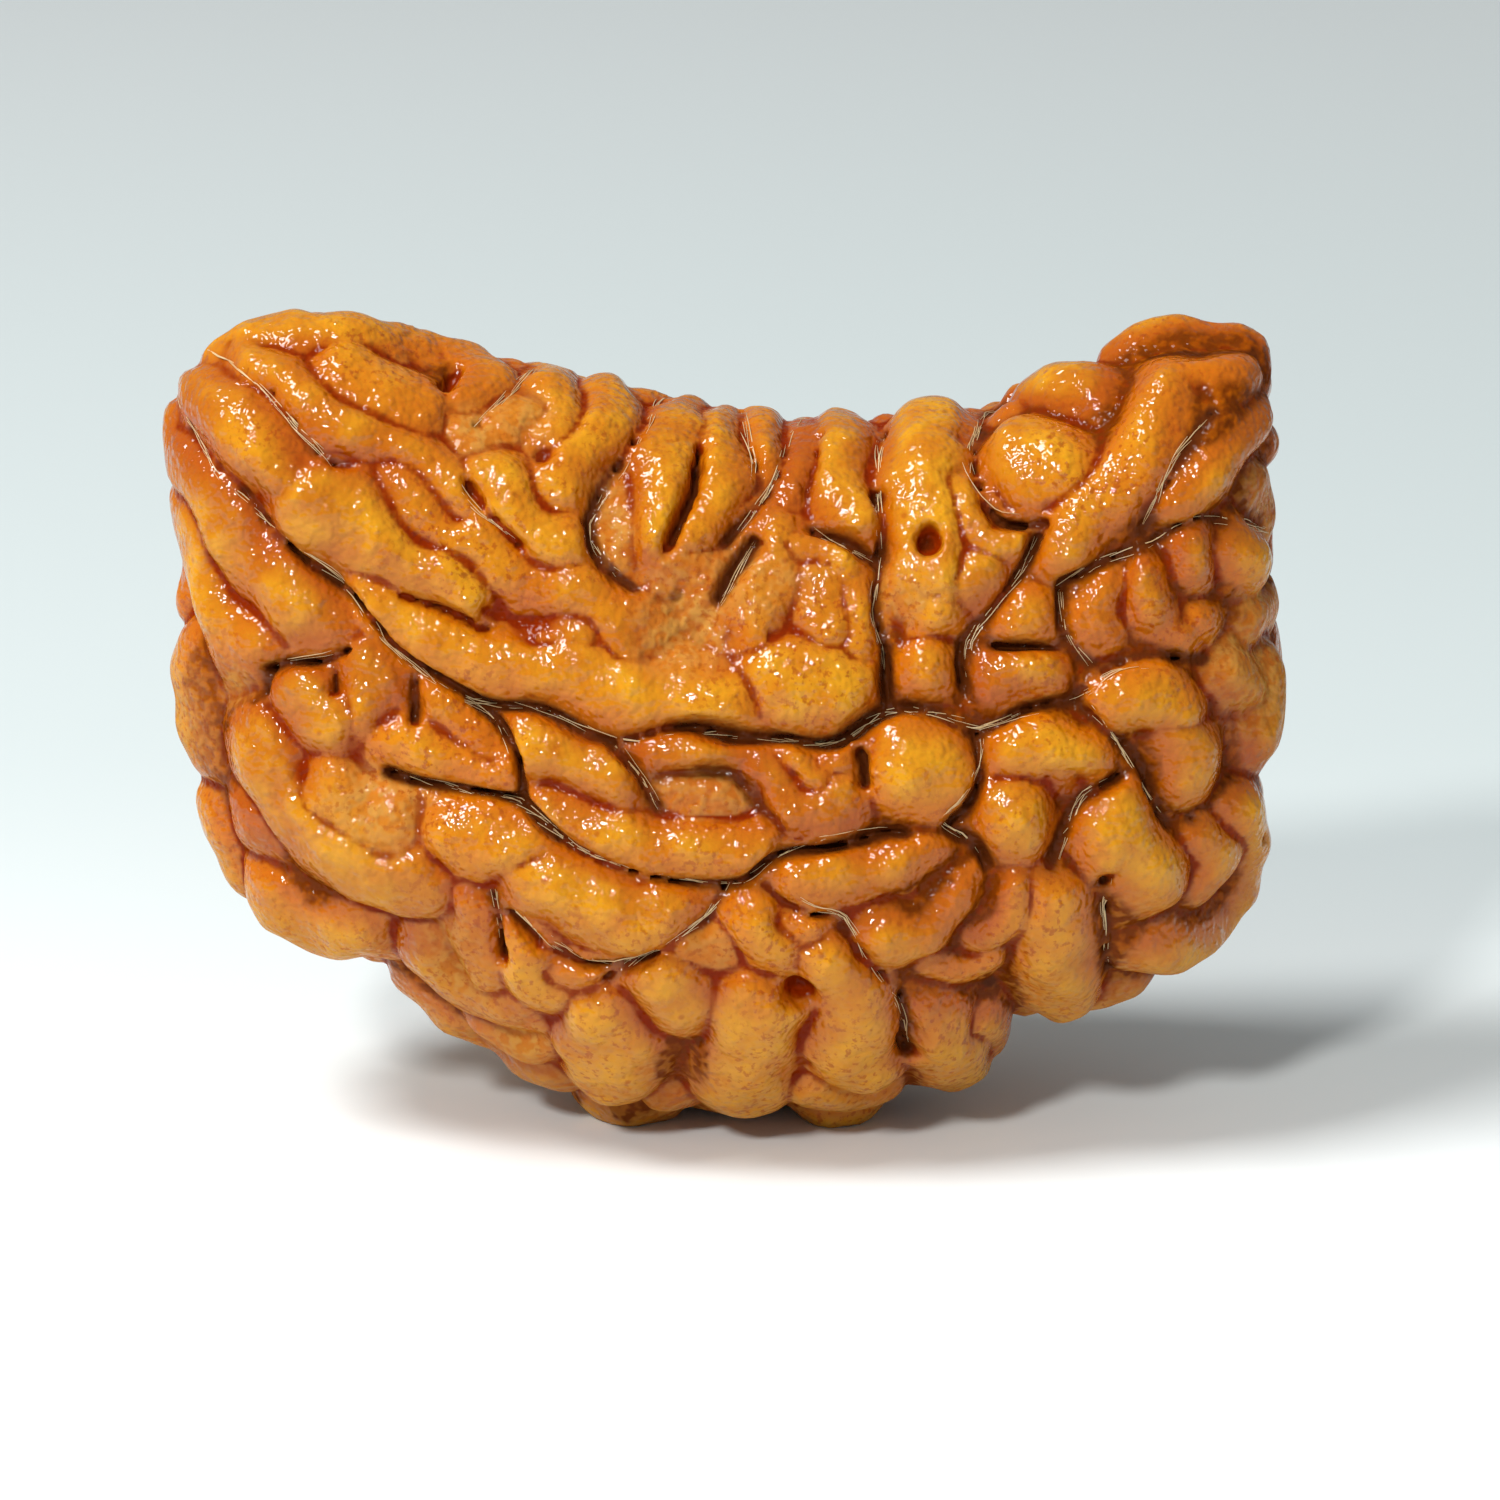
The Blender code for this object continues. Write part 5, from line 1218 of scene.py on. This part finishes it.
def oiled_seed_stone(colours, sizes):
    """The lignified stone of the fruit, scrubbed clean and oiled.

    The oil darkens and saturates it and leaves a wet gloss on the crests, whose lighter, yellower
    colour is painted highlight. Pulp skin still clings in the hollows, which stay paler, fibrous and
    matte. Where no skin clings, the creases and broad hollows are painted darker as painted shade,
    and the fissures nearly black, partly painted shade and partly oil and dirt dried in them.
    """
    material, tree = new_material("oiled lignified seed stone")
    places = millimetre_places(tree)
    values = stone_values(tree, places, sizes)
    body = linear(colours.deep)
    for colour, where in LAYERS:
        body = add_node(tree, "ShaderNodeMix", {"data_type": "RGBA"}, {
            "Factor": values[where], 6: body, 7: linear(getattr(colours, colour))}).outputs[2]
    roughness = add_node(tree, "ShaderNodeMapRange", {"interpolation_type": "SMOOTHSTEP"}, {
        "Value": values["dull"], "From Min": 0.0, "From Max": 1.0,
        "To Min": sizes.wet_roughness, "To Max": sizes.dry_roughness}).outputs[0]

    pebbled = add_node(tree, "ShaderNodeBump", {"invert": True}, {
        "Strength": 1.0, "Distance": sizes.pebble_depth * MM,
        "Height": add_node(tree, "ShaderNodeTexVoronoi", {"feature": "SMOOTH_F1"}, {
            "Vector": places, "Scale": 1 / sizes.pebble_spacing,
            "Smoothness": 0.6}).outputs["Distance"]}).outputs[0]
    wrinkled = add_node(tree, "ShaderNodeBump", {}, {
        "Strength": 1.0, "Distance": sizes.wrinkle_depth * MM, "Height": values["felt"],
        "Normal": pebbled}).outputs[0]
    grained = add_node(tree, "ShaderNodeBump", {}, {
        "Strength": 1.0, "Distance": sizes.grain_depth * MM, "Height": values["mottle"],
        "Normal": wrinkled}).outputs[0]
    shader = add_node(tree, "ShaderNodeBsdfPrincipled", {}, {
        "Base Color": body, "Roughness": roughness, "Metallic": 0.0, "IOR": 1.5,
        "Specular IOR Level": 0.0, "Coat Weight": values["gloss"], "Coat Roughness": 0.04,
        "Coat IOR": 1.45, "Subsurface Weight": 0.12, "Subsurface Radius": (1.0, 0.28, 0.05),
        "Subsurface Scale": GLOW_DEPTH * MM, "Normal": grained, "Coat Normal": grained})
    add_node(tree, "ShaderNodeOutputMaterial", {}, {"Surface": shader.outputs[0]})
    return material


def dried_pulp_fibre(colours):
    """Straw-coloured strands of dried pulp left in the fissures by the brush, pale partly as painted
    glint.
    """
    material, tree = new_material("dried pulp fibre")
    stains = add_node(tree, "ShaderNodeTexNoise", {}, {
        "Vector": millimetre_places(tree), "Scale": 0.5 / FIBRE_STAIN_SIZE, "Detail": 2.0,
        "Roughness": 0.5}).outputs["Fac"]
    tint = add_node(tree, "ShaderNodeMix", {"data_type": "RGBA"}, {
        "Factor": stains, 6: linear(colours.fibre), 7: linear(colours.hollow)}).outputs[2]
    shader = add_node(tree, "ShaderNodeBsdfPrincipled", {}, {
        "Base Color": tint, "Roughness": 0.3, "Metallic": 0.0, "IOR": 1.5})
    add_node(tree, "ShaderNodeOutputMaterial", {}, {"Surface": shader.outputs[0]})
    return material


def matt_table(colours):
    """Matt card which takes soft shadows: white at the seed, with painted shade behind it and painted
    light far back.
    """
    material, tree = new_material("matt studio card")
    depth = add_node(tree, "ShaderNodeSeparateXYZ", {}, {
        "Vector": millimetre_places(tree)}).outputs["Y"]
    tint = linear(colours.table)
    for colour, (near, far), most in ((colours.painted_backdrop_shade, PAINTED_TABLE_SHADE, 1.0),
                                      (colours.table, PAINTED_FAR_TABLE_LIGHT, 0.6)):
        amount = add_node(tree, "ShaderNodeMapRange", {"interpolation_type": "SMOOTHSTEP"}, {
            "Value": depth, "From Min": near, "From Max": far,
            "To Min": 0.0, "To Max": most}).outputs[0]
        tint = add_node(tree, "ShaderNodeMix", {"data_type": "RGBA"}, {
            "Factor": amount, 6: tint, 7: linear(colour)}).outputs[2]
    shader = add_node(tree, "ShaderNodeBsdfPrincipled", {}, {
        "Base Color": tint, "Roughness": 0.75, "Metallic": 0.0, "Specular IOR Level": 0.2})
    add_node(tree, "ShaderNodeOutputMaterial", {}, {"Surface": shader.outputs[0]})
    return material


def link_object(name, data):
    """A new object in the scene."""
    item = bpy.data.objects.new(name, data)
    bpy.context.scene.collection.objects.link(item)
    return item


def grown_stone(relief):
    """The fine skin of the seed, in millimetres as laid out, with what its material reads."""
    ridges, grooves = relief
    block = Block(GRID_STEP)
    raise_ridges(block, ridges)
    cut_grooves(block, grooves)
    stand_flat(block)
    close_pinches(block.field, GRID_STEP)
    vertices, quads = skin_of(block.field, block.axes, GRID_STEP)
    mesh = bpy.data.meshes.new("rudraksha_seed")
    mesh.from_pydata(vertices.tolist(), [], quads.tolist())
    body_only(mesh)
    mesh = thinned(mesh, TRIANGLES)
    mark_stone(mesh, ridges, grooves)
    return mesh


def thinned(mesh, triangles):
    """The mesh evened out and its flattest triangles collapsed, down to about the given number."""
    item = bpy.data.objects.new("raw_skin", mesh)
    even = item.modifiers.new("Even out", "SMOOTH")
    even.factor = 0.5
    even.iterations = EVENING_ROUNDS
    collapse = item.modifiers.new("Thin", "DECIMATE")
    collapse.ratio = min(1.0, triangles / (2 * len(mesh.polygons)))
    bpy.context.scene.collection.objects.link(item)
    evaluated = item.evaluated_get(bpy.context.evaluated_depsgraph_get())
    fine = bpy.data.meshes.new_from_object(evaluated)
    bpy.data.objects.remove(item)
    bpy.data.meshes.remove(mesh)
    fine.name = "rudraksha_seed"
    return fine


def settle(item):
    """Scales a laid-out seed to its length and stands it on Z = 0, and notes how it was moved."""
    points = rows_of(item.data.vertices, "co", 3)
    low, high = points.min(axis=0), points.max(axis=0)
    shift = np.array(((low[0] + high[0]) / 2, (low[1] + high[1]) / 2, FOOT_LEVEL))
    scale = SEED_LENGTH / (high[0] - low[0])
    points = (points - shift) * scale
    points[:, 2] = np.where(points[:, 2] < FOOT_SNAP, 0.0, points[:, 2])
    item.data.vertices.foreach_set("co", (points * MM).ravel())
    item.data.update()
    item["shift"] = shift.tolist()
    item["scale"] = scale


def from_layout(points, stone):
    """Places laid out in millimetres, as places in the finished seed in metres."""
    return (np.asarray(points) - np.array(stone["shift"])) * stone["scale"] * MM


def resampled(route, spacing):
    """A route with its points spaced evenly."""
    steps = np.linalg.norm(np.diff(route, axis=0), axis=1)
    along = np.concatenate(((0.0,), np.cumsum(steps)))
    wanted = np.linspace(0.0, along[-1], max(int(along[-1] / spacing), 1) + 1)
    return np.stack([np.interp(wanted, along, route[:, axis]) for axis in range(3)], axis=1)


def strand_line(route, draw, skin_tree, stone):
    """One strand: a stretch of the fissure, off its middle, let down on to the seed's skin."""
    reach = int(draw.uniform(*STRAND_LENGTH) / STRAND_STEP)
    first = int(draw.uniform(0, max(len(route) - reach, 1)))
    stretch = route[first:first + reach]
    if len(stretch) < STRAND_POINTS:
        return None
    normals = outward(stretch)
    forward = np.gradient(stretch, axis=0)
    side = np.cross(forward, normals)
    side /= np.maximum(np.linalg.norm(side, axis=1), 1e-6)[:, None]
    phase = draw.uniform(0.0, 2 * math.pi, 2)
    turn = np.arange(len(stretch)) * STRAND_STEP
    sway = (np.linspace(*draw.uniform(-STRAND_DRIFT, STRAND_DRIFT, 2), len(stretch))
            + 0.03 * np.sin(turn * 1.7 + phase[0]) + 0.02 * np.sin(turn * 4.1 + phase[1]))
    start = stretch + side * sway[:, None] + normals * STRAND_START
    heights = np.full(len(stretch), np.nan)
    for i, (place, normal) in enumerate(zip(start, normals)):
        hit = skin_tree.ray_cast(Vector(from_layout(place, stone)), Vector(-normal))
        if hit[0] is not None:
            heights[i] = hit[3] / (MM * stone["scale"])
    if np.isnan(heights).any():
        return None
    eased = np.convolve(np.pad(heights, 2, mode="edge"), np.ones(5) / 5, mode="valid")
    if np.abs(heights - eased).max() > STRAND_JUMP:
        return None
    sunk = eased - draw.uniform(*STRAND_LIFT)
    fallen = np.clip(sunk, heights - STRAND_LIFT[1], heights + STRAND_SINK)
    return start - normals * fallen[:, None]


def tube(line, radius, sides, vertices, faces):
    """Adds a thin tube with pointed ends along a line to the lists of vertices and faces."""
    forward = np.gradient(line, axis=0)
    forward /= np.maximum(np.linalg.norm(forward, axis=1), 1e-9)[:, None]
    first = len(vertices)
    lift = np.array((0.0, 0.0, 1.0))
    for i, (place, heading) in enumerate(zip(line, forward)):
        right = np.cross(heading, lift)
        if np.linalg.norm(right) < 0.1:
            right = np.cross(heading, (1.0, 0.0, 0.0))
        right /= np.linalg.norm(right)
        up = np.cross(right, heading)
        along = i / (len(line) - 1)
        thick = radius * (0.25 + 0.75 * math.sin(math.pi * min(max(along, 0.02), 0.98))**0.5)
        for k in range(sides):
            angle = 2 * math.pi * k / sides
            vertices.append(place + thick * (math.cos(angle) * right + math.sin(angle) * up))
    for i in range(len(line) - 1):
        for k in range(sides):
            a = first + i * sides + k
            b = first + i * sides + (k + 1) % sides
            faces.append((a, b, b + sides, a + sides))
    faces.append(tuple(first + k for k in reversed(range(sides))))
    last = first + (len(line) - 1) * sides
    faces.append(tuple(last + k for k in range(sides)))


def fibre_mesh(grooves, stone, settings):
    """All the strands of pulp fibre, as one mesh."""
    skin_tree = BVHTree.FromObject(stone, bpy.context.evaluated_depsgraph_get())
    draw = np.random.default_rng(SEED + 2)
    vertices, faces = [], []
    for spots, half_width, _ in grooves:
        if half_width < FIBRED_WIDTH or half_width > PIT_WIDTH or len(spots) < 4:
            continue
        route = resampled(spots, STRAND_STEP)
        strands = int(settings.strands * len(route) * STRAND_STEP / STRAND_SPAN) + 1
        for _ in range(strands):
            line = strand_line(route, draw, skin_tree, stone)
            if line is not None:
                thick = settings.strand_radius * draw.uniform(*STRAND_THICKNESS)
                tube(from_layout(line, stone), thick * MM, STRAND_SIDES, vertices, faces)
    mesh = bpy.data.meshes.new("pulp_fibres")
    mesh.from_pydata([tuple(v) for v in vertices], [], faces)
    mesh.shade_smooth()
    return mesh


class SeedSizes(bpy.types.PropertyGroup):
    """Fine sizes of the stone's surface, in millimetres."""

    pebble_spacing: bpy.props.FloatProperty(
        name="Pebble spacing", description="Distance between the skin's small bumps, in mm",
        default=0.2, min=0.05, max=1.0)
    pebble_depth: bpy.props.FloatProperty(
        name="Pebble depth", description="Height of the skin's small bumps, in mm",
        default=0.04, min=0.0, max=0.2)
    wrinkle_depth: bpy.props.FloatProperty(
        name="Wrinkle depth", description="Height of the skin's finest wrinkles, in mm",
        default=0.09, min=0.0, max=0.3)
    grain_depth: bpy.props.FloatProperty(
        name="Grain depth", description="Height of the skin's larger unevenness, in mm",
        default=0.1, min=0.0, max=0.3)
    fleck_spacing: bpy.props.FloatProperty(
        name="Fleck spacing", description="Distance between the reddish flecks, in mm",
        default=0.75, min=0.2, max=4.0)
    wet_roughness: bpy.props.FloatProperty(
        name="Oiled roughness", description="Roughness of the oiled crests",
        default=0.27, min=0.0, max=1.0, subtype="FACTOR")
    dry_roughness: bpy.props.FloatProperty(
        name="Dry roughness", description="Roughness of the fibrous hollows",
        default=0.72, min=0.0, max=1.0, subtype="FACTOR")


class SeedColours(bpy.types.PropertyGroup):
    """Colours of the seed and the table, as sRGB hex values."""

    body: bpy.props.StringProperty(
        name="Stone", description="Oiled stone", default="#b86204")
    deep: bpy.props.StringProperty(
        name="Darker stone", description="Ridges that took up more oil", default="#9c4503")
    # Painted highlight: the ridge tops take this lighter, yellower colour where the light falls on
    # them
    crest: bpy.props.StringProperty(
        name="Crests", description="Worn, brighter crests", default="#c98a12")
    hollow: bpy.props.StringProperty(
        name="Hollows", description="Fibrous skin in the hollows", default="#b88038")
    # Painted shade: laid into the creases and broad hollows, where shade falls
    crease: bpy.props.StringProperty(
        name="Creases", description="Oil and dirt in the creases", default="#782100")
    web: bpy.props.StringProperty(
        name="Web", description="Dark skin between the knobs", default="#642a03")
    # Partly painted shade in the fissure floors, partly dark oil dried there
    fissure: bpy.props.StringProperty(
        name="Fissures", description="Dried oil in the fissures", default="#52240a")
    fleck: bpy.props.StringProperty(
        name="Flecks", description="Reddish flecks and freckles", default="#8e3303")
    # Partly painted highlight: paler than dried straw, so that the strands also stand in for the
    # oil's glints along the creases
    fibre: bpy.props.StringProperty(
        name="Fibres", description="Dried pulp fibres", default="#e4d6ac")
    table: bpy.props.StringProperty(
        name="Table", description="Card under the seed", default="#f4f6f6")
    # Painted shade: the grey that the card is painted towards behind the seed
    painted_backdrop_shade: bpy.props.StringProperty(
        name="Backdrop", description="Card behind the seed", default="#d3dcdc")


class FibreSettings(bpy.types.PropertyGroup):
    """The pulp fibres in the fissures."""

    strands: bpy.props.FloatProperty(
        name="Strands", description="Strands over every 4 mm of fissure", default=7.0,
        min=0.0, max=12.0)
    strand_radius: bpy.props.FloatProperty(
        name="Strand radius", description="Half the thickness of a strand, in mm",
        default=0.012, min=0.005, max=0.2)


class StudioSettings(bpy.types.PropertyGroup):
    """Light and camera of the studio."""

    key_power: bpy.props.FloatProperty(
        name="Overhead light", description="Power of the large overhead softbox",
        default=0.88, min=0.0, unit="POWER")
    side_power: bpy.props.FloatProperty(
        name="Side light", description="Power of the small light at the front left",
        default=0.95, min=0.0, unit="POWER")
    room_light: bpy.props.FloatProperty(
        name="Room light", description="Strength of the light from all round",
        default=0.34, min=0.0)
    lens: bpy.props.FloatProperty(
        name="Lens", description="Focal length", default=150.0, min=20.0, unit="CAMERA")


class SEED_OT_grow_stone(bpy.types.Operator):
    """Grows the ribbed stone in place of the plain solid"""

    bl_idname = "seed.grow_stone"
    bl_label = "Grow stone"

    def execute(self, context):
        if NODE_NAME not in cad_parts:
            raise RuntimeError("the frame has no solid for the stone")
        relief = all_relief()
        stone = link_object("rudraksha_seed", grown_stone(relief))
        settle(stone)
        stone.data.materials.append(
            oiled_seed_stone(context.scene.seed_colours, context.scene.seed_sizes))
        stone.data.shade_smooth()
        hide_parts(NODE_NAME)
        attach(stone, "root")
        return {"FINISHED"}


class SEED_OT_lay_fibres(bpy.types.Operator):
    """Lays strands of dried pulp in the fissures"""

    bl_idname = "seed.lay_fibres"
    bl_label = "Lay pulp fibres"

    def execute(self, context):
        stone = bpy.data.objects["rudraksha_seed"]
        grooves = all_relief()[1]
        fibres = link_object("pulp_fibres", fibre_mesh(grooves, stone, context.scene.seed_fibres))
        fibres.data.materials.append(dried_pulp_fibre(context.scene.seed_colours))
        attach(fibres, "root")
        return {"FINISHED"}


class SEED_OT_set_stage(bpy.types.Operator):
    """Sets the table, the lights and the camera"""

    bl_idname = "seed.set_stage"
    bl_label = "Set stage"

    def execute(self, context):
        scene = context.scene
        table = link_object("studio_table", table_mesh())
        table.data.materials.append(matt_table(scene.seed_colours))
        set_lights(scene)
        set_camera(scene, bpy.data.objects["rudraksha_seed"])
        scene.view_settings.view_transform = "Standard"
        return {"FINISHED"}


def table_mesh():
    """A card that lies flat under the seed and curves up behind it."""
    half_width, front, back, radius, top = 1.2, -1.2, 0.6, 0.3, 1.0
    profile = [(front, 0.0), (back, 0.0)]
    for step in range(1, 13):
        angle = math.pi / 2 * step / 12
        profile.append((back + radius * math.sin(angle), radius * (1 - math.cos(angle))))
    profile.append((back + radius, top))
    vertices = [(x, y, z) for y, z in profile for x in (-half_width, half_width)]
    faces = [(2 * i, 2 * i + 1, 2 * i + 3, 2 * i + 2) for i in range(len(profile) - 1)]
    mesh = bpy.data.meshes.new("studio_table")
    mesh.from_pydata(vertices, [], faces)
    mesh.shade_smooth()
    return mesh


def soft_light(name, place, size, power, colour):
    """A rectangular light that faces the seed."""
    lamp = bpy.data.lights.new(name, "AREA")
    lamp.shape = "RECTANGLE"
    lamp.size, lamp.size_y = size
    lamp.energy = power
    lamp.color = colour
    item = link_object(name, lamp)
    item.location = place
    item.rotation_euler = (Vector(LIGHT_AIM) - Vector(place)).to_track_quat("-Z", "Y").to_euler()
    return item


def set_lights(scene):
    """The overhead softbox, the front light and the light of the room."""
    studio = scene.seed_studio
    soft_light("overhead_softbox", SOFTBOX_PLACE, SOFTBOX_SIZE, studio.key_power,
               (1.0, 1.0, 1.0))
    soft_light("front_left_light", FRONT_LIGHT_PLACE, FRONT_LIGHT_SIZE, studio.side_power,
               (1.0, 0.99, 0.97))
    world = bpy.data.worlds.new("room")
    scene.world = world
    world.use_nodes = True
    background = world.node_tree.nodes["Background"]
    background.inputs["Color"].default_value = linear(ROOM_COLOUR)
    background.inputs["Strength"].default_value = studio.room_light


def set_camera(scene, stone):
    """The camera at the eye for which the face was laid out."""
    eye, _ = sight_lines((EYE_AIM,))
    camera = bpy.data.cameras.new("camera")
    camera.lens = scene.seed_studio.lens
    camera.sensor_width = 36.0
    camera.clip_start = 0.01
    item = link_object("camera", camera)
    item.location = from_layout(eye, stone)
    item.rotation_euler = (math.pi / 2 - EYE_ELEVATION, 0.0, 0.0)
    scene.camera = item


class SEED_PT_panel(bpy.types.Panel):
    """The steps that make the seed, in order"""

    bl_label = "Rudraksha seed"
    bl_idname = "SEED_PT_panel"
    bl_space_type = "VIEW_3D"
    bl_region_type = "UI"
    bl_category = "Seed"

    def draw(self, context):
        layout = self.layout
        for step in STEPS:
            layout.operator(step.bl_idname)
        for name, kind in SETTINGS.items():
            box = layout.box()
            for field in kind.__annotations__:
                box.prop(getattr(context.scene, name), field)


SETTINGS = {
    "seed_sizes": SeedSizes,
    "seed_colours": SeedColours,
    "seed_fibres": FibreSettings,
    "seed_studio": StudioSettings,
}
STEPS = (SEED_OT_grow_stone, SEED_OT_lay_fibres, SEED_OT_set_stage)


def register():
    for name, kind in SETTINGS.items():
        bpy.utils.register_class(kind)
        setattr(bpy.types.Scene, name, bpy.props.PointerProperty(type=kind))
    for kind in STEPS + (SEED_PT_panel,):
        bpy.utils.register_class(kind)


def unregister():
    for kind in (SEED_PT_panel,) + STEPS[::-1]:
        bpy.utils.unregister_class(kind)
    for name, kind in SETTINGS.items():
        delattr(bpy.types.Scene, name)
        bpy.utils.unregister_class(kind)


def corners(box):
    """A box's low and high corners as plain lists."""
    return [list(corner) for corner in box]


def main():
    register()
    bpy.ops.seed.grow_stone()
    bpy.ops.seed.lay_fibres()
    bpy.ops.seed.set_stage()


if __name__ == "__main__":
    main()
